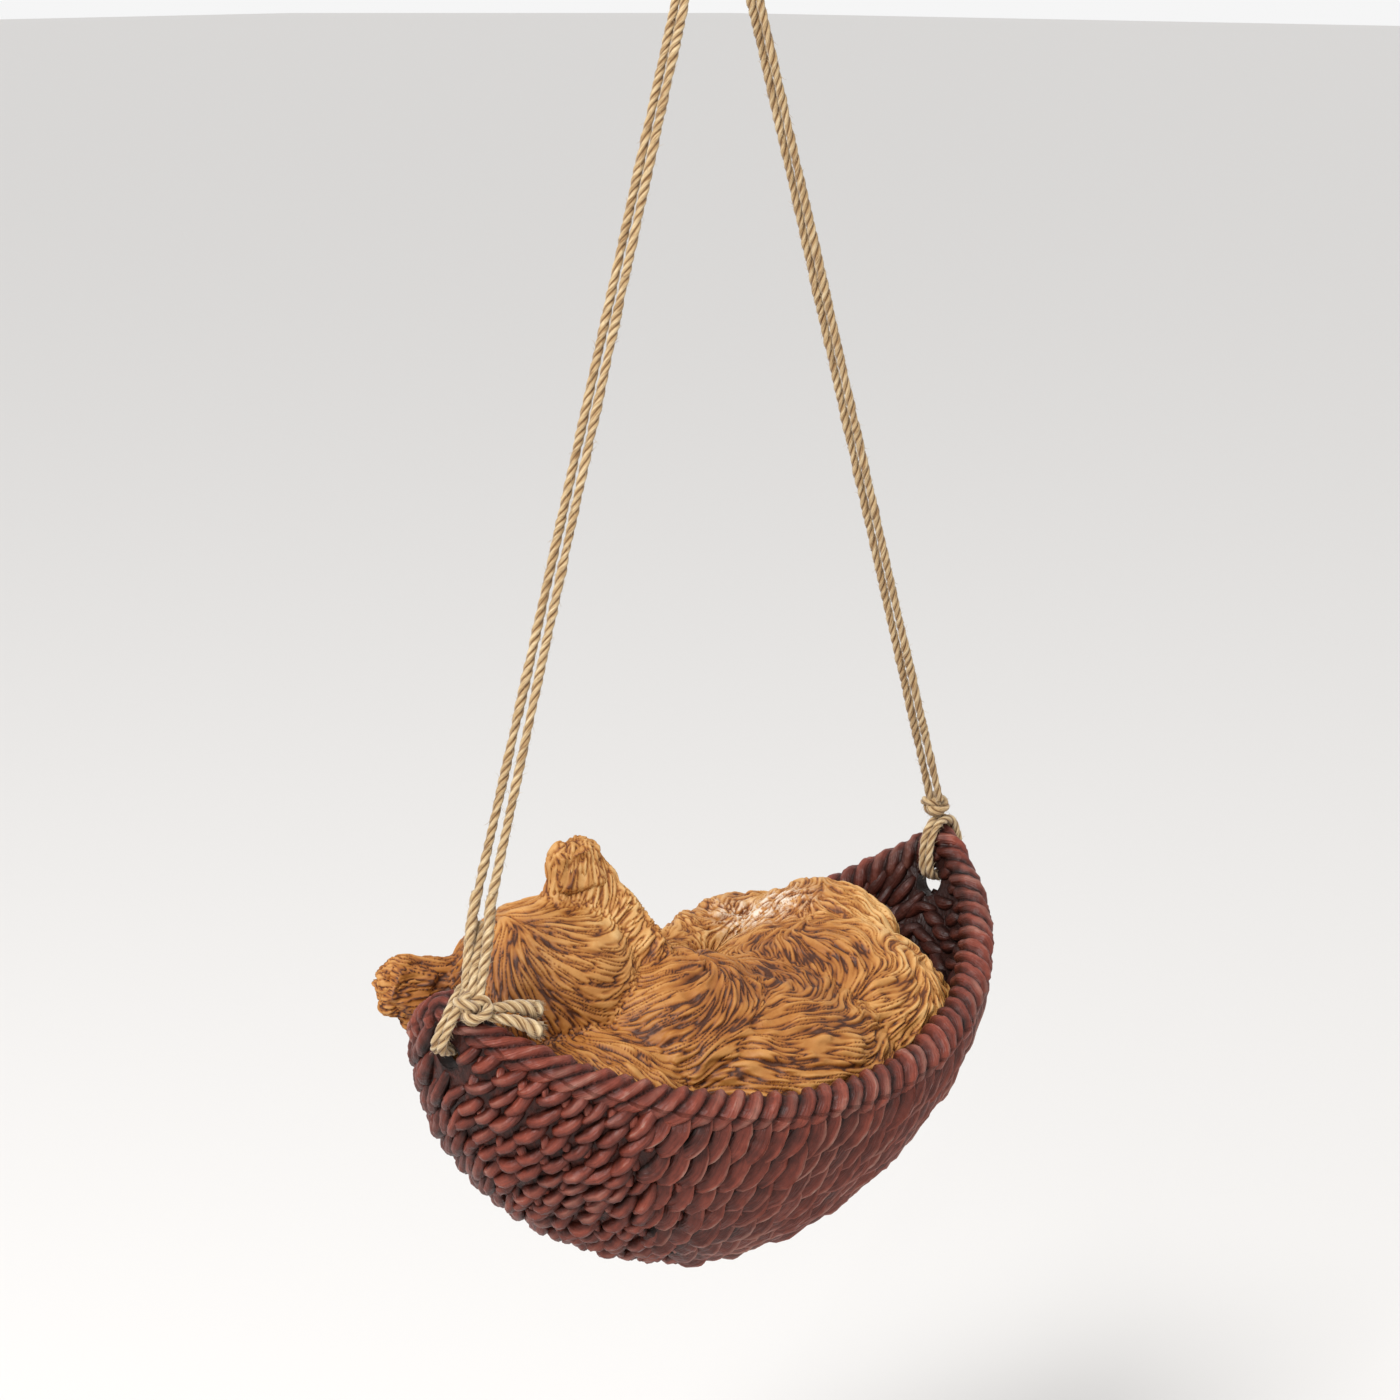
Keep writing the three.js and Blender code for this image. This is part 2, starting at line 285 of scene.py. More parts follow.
# ---- materials ----------------------------------------------------------------------------------
class Shader:
    """A material's node tree, with one way to add a node."""

    def __init__(self, name: str) -> None:
        """Starts a material with an empty tree."""
        self.material = bpy.data.materials.new(name)
        self.material.use_nodes = True
        self.tree = self.material.node_tree
        self.tree.nodes.clear()

    def node(self, kind: str, settings: dict | None = None, **inputs: object) -> bpy.types.Node:
        """Adds a node.

        Args:
            kind: the node's type, without the "ShaderNode" in front.
            settings: its properties by name.
            inputs: its sockets by name, with _ for a space: a value, or a socket to link.
        Returns:
            The node.
        """
        made = self.tree.nodes.new("ShaderNode" + kind)
        for key, value in (settings or {}).items():
            setattr(made, key, value)
        for key, value in inputs.items():
            socket = made.inputs[int(key[1:])] if key[0] == "_" else made.inputs[key.replace("_", " ")]
            if isinstance(value, bpy.types.NodeSocket):
                self.tree.links.new(value, socket)
            else:
                socket.default_value = value
        return made

    def attribute(self, label: str) -> bpy.types.Node:
        """Reads a per-point value of the mesh."""
        return self.node("Attribute", {"attribute_name": label})

    def ramp(self, factor: bpy.types.NodeSocket, stops: list[tuple[float, str]]) -> bpy.types.NodeSocket:
        """A colour that runs through stops of (place, sRGB hex)."""
        made = self.node("ValToRGB", Fac=factor)
        elements = made.color_ramp.elements
        while len(elements) < len(stops):
            elements.new(0.5)
        for element, (place, code) in zip(elements, stops):
            element.position = place
            element.color = srgb(code)
        return made.outputs["Color"]

    def place(self) -> bpy.types.NodeSocket:
        """The place on the object, in metres."""
        return self.node("TexCoord").outputs["Object"]

    def math(
        self, operation: str, first: object, second: object = 0.0, clamp: bool = False
    ) -> bpy.types.NodeSocket:
        """One arithmetic step."""
        made = self.node("Math", {"operation": operation, "use_clamp": clamp}, _0=first, _1=second)
        return made.outputs[0]

    def swing(self, value: bpy.types.NodeSocket, amount: float) -> bpy.types.NodeSocket:
        """How far a value is from a half, this many times over."""
        return self.math("MULTIPLY", self.math("SUBTRACT", value, 0.5), amount)

    def mix(self, factor: object, first: object, second: object, blend: str = "MIX") -> bpy.types.NodeSocket:
        """A mix of two colours."""
        made = self.node("Mix", {"data_type": "RGBA", "blend_type": blend}, _0=factor, _6=first, _7=second)
        return made.outputs[2]

    def remap(self, value: bpy.types.NodeSocket, low: float, high: float) -> bpy.types.NodeSocket:
        """0 at low, 1 at high, and clamped outside."""
        smooth = {"interpolation_type": "SMOOTHSTEP"}
        made = self.node("MapRange", smooth, Value=value, From_Min=low, From_Max=high)
        return made.outputs[0]

    def noise(
        self, vector: bpy.types.NodeSocket, per_unit: float, detail: float = 3.0
    ) -> bpy.types.NodeSocket:
        """Fractal noise with this many features to the vector's unit of length."""
        made = self.node("TexNoise", Vector=vector, Scale=per_unit, Detail=detail, Roughness=0.55)
        return made.outputs[0]

    def finish(self, normal: bpy.types.NodeSocket | None = None, **surface: object) -> bpy.types.Material:
        """Ends the tree in a Principled surface with these inputs."""
        if normal is not None:
            surface["Normal"] = normal
        shader = self.node("BsdfPrincipled", **surface)
        self.node("OutputMaterial", Surface=shader.outputs[0])
        return self.material


@dataclass(frozen=True)
class JuteFinish:
    """Natural jute, spun and three-ply: straw-coloured bast fibres with darker bark flecks, quite matt."""

    name: str = "spun_natural_jute"
    pale: str = "CDB995"
    straw: str = "AE936C"
    tan: str = "83633F"
    fleck: str = "553A22"
    fibre_mm: float = 0.22

    def material(self) -> bpy.types.Material:
        """Builds the material. The grain attribute runs along the plies, in millimetres. The relief attribute
        darkens the grooves between the plies as painted shade.
        """
        shader = Shader(self.name)
        grain = shader.attribute("grain").outputs["Vector"]
        stretched = shader.node("Mapping", Vector=grain, Scale=(0.45, 1 / self.fibre_mm, 1.0)).outputs[0]
        fibres = shader.noise(stretched, 1.0, 2.0)
        coarse = shader.node("Mapping", Vector=grain, Scale=(0.30, 0.9, 1.0)).outputs[0]
        patches = shader.noise(coarse, 1.0, 3.0)
        scaled = [shader.math("MULTIPLY", part, 0.55) for part in (fibres, patches)]
        blend = shader.math("ADD", *scaled)
        stops = [(0.30, self.fleck), (0.41, self.tan), (0.52, self.straw), (0.70, self.pale)]
        colour = shader.ramp(blend, stops)
        # Painted shade: the colour is multiplied darker down in the grooves between the plies and left full
        # on the crests and the loose hairs.
        crevice = shader.attribute("relief").outputs["Fac"]
        shade = shader.ramp(crevice, [(0.0, "7D5D3C"), (0.45, "E6DACB"), (1.0, "FFFFFF")])
        colour = shader.mix(1.0, colour, shade, "MULTIPLY")
        bump = shader.node("Bump", Strength=0.7, Distance=0.0002, Height=fibres)
        return shader.finish(
            bump.outputs[0], Base_Color=colour, Roughness=0.92, Specular_IOR_Level=0.25, Sheen_Weight=0.25
        )


@dataclass(frozen=True)
class FurFinish:
    """Acrylic paint on cast resin fur: dark wash in the grooves, ginger, dry-brushed buff on the ridges, and
    patches of painted light and shade.
    """

    name: str = "washed_acrylic_on_cast_fur"
    wash: str = "42200B"
    shadow: str = "7A4419"
    ginger: str = "9A6127"
    buff: str = "B98549"
    straw: str = "CDA36A"
    frost: str = "D8CBBA"
    blush: str = "A9685A"
    ink: str = "2C170E"
    speckle_mm: float = 1.3

    def material(self) -> bpy.types.Material:
        """Builds the material from the carving's relief, tone, frost, blush and ink attributes."""
        shader = Shader(self.name)
        place = shader.place()
        relief = shader.attribute("relief").outputs["Fac"]
        tone = shader.attribute("tone").outputs["Fac"]
        mottle = shader.noise(place, 1 / (self.speckle_mm * MM), 3.0)
        broad = shader.noise(place, 1 / (16 * MM), 2.0)
        level = shader.math("ADD", relief, shader.swing(mottle, 0.20))
        level = shader.math("ADD", level, shader.swing(broad, 0.20))
        # tone: paler and deeper patches, partly the paint's own and partly painted light and shade.
        level = shader.math("ADD", level, shader.math("MULTIPLY", tone, 0.16), clamp=True)
        stops = [(0.0, self.wash), (0.25, self.shadow), (0.52, self.ginger)]
        colour = shader.ramp(level, stops + [(0.82, self.buff), (1.0, self.straw)])
        flecked = shader.remap(mottle, 0.38, 0.62)
        frost = shader.math("MULTIPLY", shader.attribute("frost").outputs["Fac"], flecked)
        colour = shader.mix(frost, colour, srgb(self.frost))
        colour = shader.mix(shader.attribute("blush").outputs["Fac"], colour, srgb(self.blush))
        colour = shader.mix(shader.attribute("ink").outputs["Fac"], colour, srgb(self.ink))
        bump = shader.node("Bump", Strength=0.25, Distance=0.0003, Height=mottle)
        return shader.finish(bump.outputs[0], Base_Color=colour, Roughness=0.58, Specular_IOR_Level=0.35)


@dataclass(frozen=True)
class WickerFinish:
    """Acrylic paint on cast resin cane: red-brown, near black in the crevices, dry-brushed mauve on top;
    darker inside, partly its own paint and partly painted shade.
    """

    name: str = "dry_brushed_acrylic_on_cast_cane"
    crevice: str = "150704"
    shade: str = "3A160E"
    body: str = "5C271C"
    russet: str = "7C3A2B"
    mauve: str = "A07C6E"
    inside_body_and_shade: str = "411C14"
    grain_mm: float = 0.5

    def material(self) -> bpy.types.Material:
        """Builds the material from relief, tone, inside and grain attributes."""
        shader = Shader(self.name)
        place = shader.place()
        relief = shader.attribute("relief").outputs["Fac"]
        tone = shader.attribute("tone").outputs["Fac"]
        inside = shader.attribute("inside").outputs["Fac"]
        grain = shader.attribute("grain").outputs["Vector"]
        striped = shader.node("Mapping", Vector=grain, Scale=(0.16, 1 / self.grain_mm, 1.0)).outputs[0]
        lines = shader.noise(striped, 1.0, 2.0)
        mottle = shader.noise(place, 1 / (2.4 * MM), 4.0)
        broad = shader.noise(place, 1 / (11 * MM), 2.0)
        level = shader.math("MULTIPLY", relief, 0.80)
        level = shader.math("ADD", level, shader.math("MULTIPLY", tone, 0.16))
        level = shader.math("ADD", level, shader.swing(lines, 0.42))
        level = shader.math("ADD", level, shader.swing(mottle, 0.50), clamp=True)
        stops = [(0.0, self.crevice), (0.20, self.shade), (0.46, self.body)]
        outer = shader.ramp(level, stops + [(0.72, self.russet), (0.98, self.mauve)])
        # The inside's ramp is darker: partly the inside's own chocolate paint, partly painted shade in the
        # basket's hollow.
        stops = [(0.0, "1A0A07"), (0.35, "2E130D"), (0.60, self.inside_body_and_shade)]
        inner = shader.ramp(level, stops + [(0.90, "66352A"), (1.0, "7E5548")])
        colour = shader.mix(inside, outer, inner)
        dusty = shader.math("MULTIPLY", shader.remap(broad, 0.46, 0.66), shader.remap(relief, 0.55, 1.0))
        outside = shader.math("SUBTRACT", 0.55, shader.math("MULTIPLY", inside, 0.45))
        dusty = shader.math("MULTIPLY", dusty, outside)
        colour = shader.mix(dusty, colour, srgb(self.mauve))
        rough = shader.math("SUBTRACT", 0.60, shader.math("MULTIPLY", mottle, 0.24))
        height = shader.math("ADD", shader.math("MULTIPLY", lines, 0.6), shader.math("MULTIPLY", mottle, 0.8))
        bump = shader.node("Bump", Strength=0.9, Distance=0.0006, Height=height)
        return shader.finish(bump.outputs[0], Base_Color=colour, Roughness=rough, Specular_IOR_Level=0.28)


@dataclass(frozen=True)
class EpoxyFinish:
    """Cured clear epoxy, yellowed: a glossy amber pool."""

    name: str = "cured_amber_epoxy"
    amber: str = "B98F55"

    def material(self) -> bpy.types.Material:
        """Builds the material."""
        shader = Shader(self.name)
        place = shader.place()
        cloud = shader.noise(place, 1 / (6 * MM), 3.0)
        colour = shader.ramp(cloud, [(0.3, "8A6234"), (0.7, self.amber)])
        bump = shader.node("Bump", Strength=0.15, Distance=0.0005, Height=cloud)
        return shader.finish(bump.outputs[0], Base_Color=colour, Roughness=0.22, Coat_Weight=0.3)


# ---- twine --------------------------------------------------------------------------------------
@dataclass(frozen=True)
class Route:
    """A smooth line through points, sampled evenly."""

    points: tuple[tuple[float, float, float], ...]
    closed: bool = False

    def sample(self, step: float) -> np.ndarray:
        """Places along the route about one step apart, in millimetres."""
        knots = np.array(self.points, dtype=float)
        count = len(knots)
        if count == 2:
            fine = knots[0] + (knots[1] - knots[0]) * np.linspace(0, 1, 60)[:, None]
        else:
            spans = count if self.closed else count - 1
            end = knots[:1] if self.closed else knots[-1:]
            fine = np.concatenate([self.span(knots, i) for i in range(spans)] + [end])
        lengths = lengths_along(fine)
        number = max(4, int(round(lengths[-1] / step)))
        at = np.linspace(0, lengths[-1], number + 1)
        even = np.stack([np.interp(at, lengths, fine[:, axis]) for axis in range(3)], axis=1)
        return even[:-1] if self.closed else even

    def span(self, knots: np.ndarray, index: int) -> np.ndarray:
        """Points of one Catmull-Rom span, its end left out."""
        count = len(knots)

        def knot(i: int) -> np.ndarray:
            """A knot, past the ends too."""
            return knots[i % count] if self.closed else knots[min(max(i, 0), count - 1)]

        before, start, end, after = (knot(index + shift) for shift in (-1, 0, 1, 2))
        share = np.linspace(0, 1, 24, endpoint=False)[:, None]
        return 0.5 * (
            2 * start
            + (end - before) * share
            + (2 * before - 5 * start + 4 * end - after) * share**2
            + (3 * start - before - 3 * end + after) * share**3
        )


def carried_frames(line: np.ndarray, closed: bool) -> tuple[np.ndarray, np.ndarray, np.ndarray]:
    """Tangents and two crossways vectors that don't spin, along a line."""
    if closed:
        tangent = unit(np.roll(line, -1, axis=0) - np.roll(line, 1, axis=0))
    else:
        tangent = unit(np.gradient(line, axis=0))
    side = np.empty_like(tangent)
    guess = vec(0.31, 0.95, 0.05)
    for i, along in enumerate(tangent):
        guess = unit(guess - along * (guess @ along))
        side[i] = guess
    return tangent, side, np.cross(tangent, side)


@dataclass(frozen=True)
class JuteTwine:
    """Three-ply jute twine: a lobed, twisted section with loose hairs."""

    diameter: float = 2.0
    plies: int = 3
    lay: float = 8.0  # length of one full turn of the plies
    ring_step: float = 0.55
    sides: int = 15
    hairs_per_mm: float = 2.2
    hair_length: tuple[float, float] = (0.5, 2.0)
    hair_radius: float = 0.045

    def ply_section(self) -> tuple[np.ndarray, np.ndarray]:
        """Angles and radii of the lobed section."""
        angle = np.arange(self.sides) / self.sides * TURN
        lobe = (angle * self.plies / TURN) % 1.0 - 0.5
        off = lobe * TURN / self.plies
        centre, ply = 0.19 * self.diameter, 0.32 * self.diameter
        return angle, centre * np.cos(off) + np.sqrt(ply**2 - (centre * np.sin(off)) ** 2)

    def lay_along(
        self, parts: MeshParts, line: np.ndarray, rng: np.random.Generator, closed: bool = False,
        swell: np.ndarray | float = 1.0, hairs: float = 1.0,
    ) -> None:
        """Adds a stretch of twine to a mesh.

        Args:
            parts: the mesh that gets it.
            line: its centreline.
            rng: where its small irregularities come from.
            closed: whether the line closes on itself.
            swell: thickness along the line, as a share of the diameter.
            hairs: how hairy it is, 1 for usual.
        """
        tangent, side, other = carried_frames(line, closed)
        along = lengths_along(line)
        angle, radius = self.ply_section()
        marks = np.arange(0, along[-1] + 6, 3.0)
        wobble = np.interp(along, marks, rng.normal(1, 0.07, len(marks)))
        marks = np.arange(0, along[-1] + 12, 6.0)
        slip = np.interp(along, marks, rng.normal(0, 0.45, len(marks)))
        turn = along / self.lay * TURN + slip + rng.uniform(0, TURN)
        around = angle[None, :] + turn[:, None]
        grown = radius[None, :] * (wobble * swell)[:, None]
        rows, columns = len(line), self.sides
        faces = grid_faces(rows, columns, closed_rows=closed).tolist()
        points = around_line(line, side, other, around, grown).reshape(-1, 3)
        # relief: 0 down in the grooves between the plies, 1 on the crests; the jute uses it to paint shade
        # into the grooves.
        relief = np.broadcast_to((radius - radius.min()) / np.ptp(radius), (rows, columns)).ravel()
        ply_angle = np.broadcast_to(angle * self.diameter / 2, (rows, columns))
        identity = np.floor(np.broadcast_to(angle * self.plies / TURN, (rows, columns)))
        started = np.broadcast_to(along[:, None] + rng.uniform(0, 900), (rows, columns))
        grain = np.stack([started, ply_angle, identity * 7.3], axis=-1).reshape(-1, 3)
        if not closed:
            points = np.concatenate([points, line[:1], line[-1:]])
            relief = np.concatenate([relief, [0.4, 0.4]])
            grain = np.concatenate([grain, grain[:1], grain[-1:]])
            faces += end_fans(rows, columns, len(points))
        parts.add(points, faces, relief=relief, grain=grain)
        self.add_hairs(parts, line, tangent, side, other, rng, hairs)

    def add_hairs(
        self, parts: MeshParts, line: np.ndarray, tangent: np.ndarray, side: np.ndarray, other: np.ndarray,
        rng: np.random.Generator, hairs: float,
    ) -> None:
        """Adds loose fibres that leave the twine at a low angle and curl."""
        for _ in range(int(line_length(line) * self.hairs_per_mm * hairs)):
            i = rng.integers(0, len(line))
            turn = rng.uniform(0, TURN)
            out = side[i] * math.cos(turn) + other[i] * math.sin(turn)
            way = tangent[i] * rng.choice([-1.0, 1.0])
            root = line[i] + out * self.diameter * 0.40
            lift = rng.uniform(0.15, 1.0)
            reach = rng.uniform(*self.hair_length)
            middle = root + unit(way + out * lift) * reach * 0.5
            sway = np.cross(way, out) * rng.uniform(-0.7, 0.7)
            tip = middle + unit(way * rng.uniform(0.3, 1.0) + out * lift * 1.2 + sway) * reach * 0.5
            self.add_hair(parts, root, middle, tip)

    def add_hair(self, parts: MeshParts, root: np.ndarray, middle: np.ndarray, tip: np.ndarray) -> None:
        """Adds one fibre: a three-sided needle with a bend."""
        across = unit(np.cross(middle - root, tip - root + vec(0.01, 0.02, 0.03)))
        third = unit(np.cross(middle - root, across))
        points = []
        for centre, thick in ((root, 1.0), (middle, 0.75)):
            for k in range(3):
                turn = k / 3 * TURN
                out = across * math.cos(turn) + third * math.sin(turn)
                points.append(centre + out * self.hair_radius * thick)
        points.append(tip)
        faces = [[0, 1, 4, 3], [1, 2, 5, 4], [2, 0, 3, 5], [3, 4, 6], [4, 5, 6], [5, 3, 6], [2, 1, 0]]
        grain = np.tile(root + vec(0, 0, 3), (7, 1))
        # relief 1: the hairs get none of the painted groove shade.
        parts.add(np.array(points), faces, relief=np.full(7, 1.0), grain=grain)


@dataclass(frozen=True)
class Strand:
    """One of the four lengths of twine between the basket and the top knot."""

    node: str
    aim: float
    foot_rise: float
    foot_spread: float
    face: float

    def route(self, sizes: "TwineBail") -> Route:
        """Its centreline, which narrows towards the strand beside it."""
        points = []
        for share in (0.0, 0.25, 0.5, 0.75, 1.0):
            spread = self.foot_spread + (sizes.head_spread - self.foot_spread) * math.sqrt(share)
            rise = self.foot_rise + (sizes.head_rise - self.foot_rise) * share
            points.append((self.aim * (1 - rise / sizes.bail_height), self.face * spread, rise))
        return Route(tuple(points))


@dataclass(frozen=True)
class TwineBail:
    """All of the twine above the basket: the hanging loop, top knot, four strands and the left bundle."""

    twine: JuteTwine = field(default_factory=JuteTwine)
    bail_height: float = 239.0
    head_rise: float = 236.0
    head_spread: float = 1.2
    left_aim: float = -81.4
    right_aim: float = 86.2
    bundle_top_rise: float = 27.0
    left_knot: tuple[float, float, float] = (-82.0, -7.0, 9.6)
    loop_height: float = 24.0
    loop_half: float = 7.5
    step: float = 0.55

    def strands(self) -> list[Strand]:
        """The four strands."""
        left, right = self.bundle_top_rise - 1.5, 18.2
        return [
            Strand("twine_left_front", self.left_aim, left, 2.1, -1),
            Strand("twine_left_back", self.left_aim, left, 2.1, 1),
            Strand("twine_right_front", self.right_aim, right, 1.4, -1),
            Strand("twine_right_back", self.right_aim, right, 1.4, 1),
        ]

    def knot_line(self, centre: np.ndarray, size: float, turn: Matrix) -> np.ndarray:
        """The centreline of an overhand knot, which is a trefoil."""
        angle = np.linspace(0, TURN, 90, endpoint=False)
        ring = 2 + np.cos(3 * angle)
        level = (ring * np.cos(2 * angle), ring * np.sin(2 * angle))
        curve = np.stack([*level, 1.15 * np.sin(3 * angle)], axis=1)
        return centre + (curve * size / 3) @ np.array(turn).T

    def hanging_loop(self) -> bpy.types.Object:
        """The teardrop of twine that goes over a hook."""
        half, foot = self.loop_half, -self.loop_height - 1
        top = -DATUM_Z
        outline = [(0.9, foot - 5), (1.2, foot), (2.9, foot + 4), (half, -9), (half * 0.72, -1.6), (0, 1)]
        outline += [(-x, z) for x, z in outline[-2::-1]]
        parts = MeshParts()
        route = Route(tuple((x, 0.0, z + top) for x, z in outline))
        self.twine.lay_along(parts, route.sample(self.step), np.random.default_rng(11))
        return parts.build("hanging_loop_twine")

    def top_knot(self) -> bpy.types.Object:
        """The knot that gathers the strands and the loop: three trefoil turns inside one another."""
        parts = MeshParts()
        rng = np.random.default_rng(12)
        centre = vec(0, 0, self.bail_height)
        for size, tilt in ((3.7, 0.25), (3.1, 1.4), (2.2, 2.4)):
            turn = Matrix.Rotation(tilt, 3, "Z") @ Matrix.Rotation(math.pi / 2, 3, "Y")
            self.twine.lay_along(parts, self.knot_line(centre, size, turn), rng, closed=True, hairs=1.6)
        return parts.build("top_knot_twine")

    def left_bundle(self) -> bpy.types.Object:
        """The four ends that run side by side from the left knot up to where two of them part."""
        parts = MeshParts()
        rng = np.random.default_rng(13)
        foot = np.array(self.left_knot) + vec(0.2, 0.6, 2.0)
        top_x = self.left_aim * (1 - self.bundle_top_rise / self.bail_height)
        for index, across in enumerate((-2.5, -0.9, 0.9, 2.5)):
            rise = self.bundle_top_rise + (2.6 if abs(across) > 1 else -3.5)
            top = vec(top_x + 0.5 * math.cos(index * 2.2), across * 0.86, rise)
            weave = vec(0.9 * (-1) ** index, 0, 0)
            middle = (foot + top) / 2 + vec(0, across * 0.25, 0) + weave
            start = foot + vec(0.5 * (-1) ** index, across * 0.55, 0)
            route = Route((tuple(start), tuple(middle), tuple(top)))
            self.twine.lay_along(parts, route.sample(self.step), rng, swell=1.12, hairs=4.5)
        return parts.build("left_bundle_twine")

    def build(self, finish: bpy.types.Material) -> list[bpy.types.Object]:
        """Args:
            finish: the jute.
        Returns:
            The pieces.
        """
        loop, knot, bundle = self.hanging_loop(), self.top_knot(), self.left_bundle()
        made = [loop, knot, bundle]
        for piece, node in ((loop, "hanging_loop"), (knot, "top_knot"), (bundle, "left_bundle")):
            self.dress(piece, node, finish)
        for number, strand in enumerate(self.strands()):
            parts = MeshParts()
            line = strand.route(self).sample(self.step)
            self.twine.lay_along(parts, line, np.random.default_rng(20 + number))
            piece = parts.build(strand.node.replace("twine_", "strand_"))
            self.dress(piece, strand.node, finish)
            path = to_frame(strand.route(self).sample(8.0))
            made.append(piece)
        return made

    def dress(self, piece: bpy.types.Object, node: str, finish: bpy.types.Material) -> None:
        """Gives a piece its finish and its body."""
        piece.data.materials.append(finish)
        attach(piece, Body.HANGER.value)
        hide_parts(node)


@dataclass(frozen=True)
class BasketTies:
    """The twine that moves with the basket: both hitches, both knots and the two cut ends."""

    twine: JuteTwine = field(default_factory=JuteTwine)
    left_knot: tuple[float, float, float] = (-82.0, -7.0, 9.6)
    right_knot: tuple[float, float, float] = (81.6, 1.4, 16.6)
    doubled_spread: float = 0.95
    step: float = 0.5

    def hitch(self, name: str, outline: list[tuple[float, float, float]], seed: int) -> bpy.types.Object:
        """A doubled turn of twine through a hole and over the border."""
        parts = MeshParts()
        rng = np.random.default_rng(seed)
        for side in (-1, 1):
            shifted = tuple((x, y + side * self.doubled_spread, z) for x, y, z in outline)
            line = Route(shifted, closed=True).sample(self.step)
            self.twine.lay_along(parts, line, rng, closed=True, hairs=1.4)
        return parts.build(name)

    def knot(self, name: str, centre: tuple[float, float, float], size: float, seed: int) -> bpy.types.Object:
        """A lumpy knot: one trefoil turn with a smaller one inside it."""
        parts = MeshParts()
        rng = np.random.default_rng(seed)
        bail = TwineBail()
        for scale, tilt, lean in ((1.0, 0.4, 0.3), (0.82, 1.5, -0.5)):
            turn = Matrix.Rotation(lean, 3, "Z") @ Matrix.Rotation(tilt, 3, "X")
            line = bail.knot_line(np.array(centre), size * scale, turn)
            self.twine.lay_along(parts, line, rng, closed=True, swell=1.12, hairs=3.0)
        return parts.build(name)

    def cut_end(
        self, name: str, end: tuple[float, float, float], root_rise: float, seed: int
    ) -> bpy.types.Object:
        """A cut end that opens into loose plies and a brush of fibres."""
        parts = MeshParts()
        rng = np.random.default_rng(seed)
        root, tip = np.array(self.left_knot) + vec(1.8, -2.0, root_rise), np.array(end)
        middle = (root + tip) / 2 + vec(0, -0.4, 0.7)
        line = Route((tuple(root), tuple(middle), tuple(tip))).sample(self.step)
        swell = 0.95 + 0.95 * np.linspace(0, 1, len(line)) ** 1.2
        self.twine.lay_along(parts, line, rng, swell=swell, hairs=4.5)
        way = unit(tip - middle)
        for _ in range(220):
            turn = rng.uniform(0, TURN)
            out = unit(np.cross(way, vec(math.cos(turn), math.sin(turn), 0.3)))
            start = tip - way * rng.uniform(0, 2.5) + out * rng.uniform(0, 1.8)
            middle_point = start + unit(way + out * rng.uniform(-0.1, 0.6)) * rng.uniform(0.4, 1.2)
            self.twine.add_hair(parts, start, middle_point, middle_point + (middle_point - start) * 0.9)
        return parts.build(name)

    def build(self, finish: bpy.types.Material) -> list[bpy.types.Object]:
        """Makes and dresses the ties."""
        left = [(-83, -0.3, -0.6), (-87.0, -1.8, 1.0), (-87.2, -3.6, 5.2), (-84.8, -4.6, 10.2)]
        left += [(-80.4, -3.2, 12.4), (-76.8, -1.0, 8), (-76.8, 0, 2), (-79.2, 0, -0.4)]
        right = [(82, 0, -0.6), (86.6, 0, 0.8), (87.9, 0, 6.5), (85.2, 0, 12.2)]
        right += [(80, 0, 12.4), (76.8, 0, 8), (76.6, 0, 2), (78.8, 0, -0.4)]
        made = {
            "left_hitch": self.hitch("left_hitch_twine", left, 31),
            "right_hitch": self.hitch("right_hitch_twine", right, 32),
            "left_knot": self.knot("left_knot_twine", self.left_knot, 3.4, 33),
            "right_knot": self.knot("right_knot_twine", self.right_knot, 2.6, 34),
            "left_tail_upper": self.cut_end("left_cut_end_upper", (-69.6, -12.8, 7.2), -0.3, 35),
            "left_tail_lower": self.cut_end("left_cut_end_lower", (-72, -15.6, 4.0), -2.0, 36),
        }
        for node, piece in made.items():
            piece.data.materials.append(finish)
            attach(piece, Body.BASKET.value)
            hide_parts(node)
        return list(made.values())


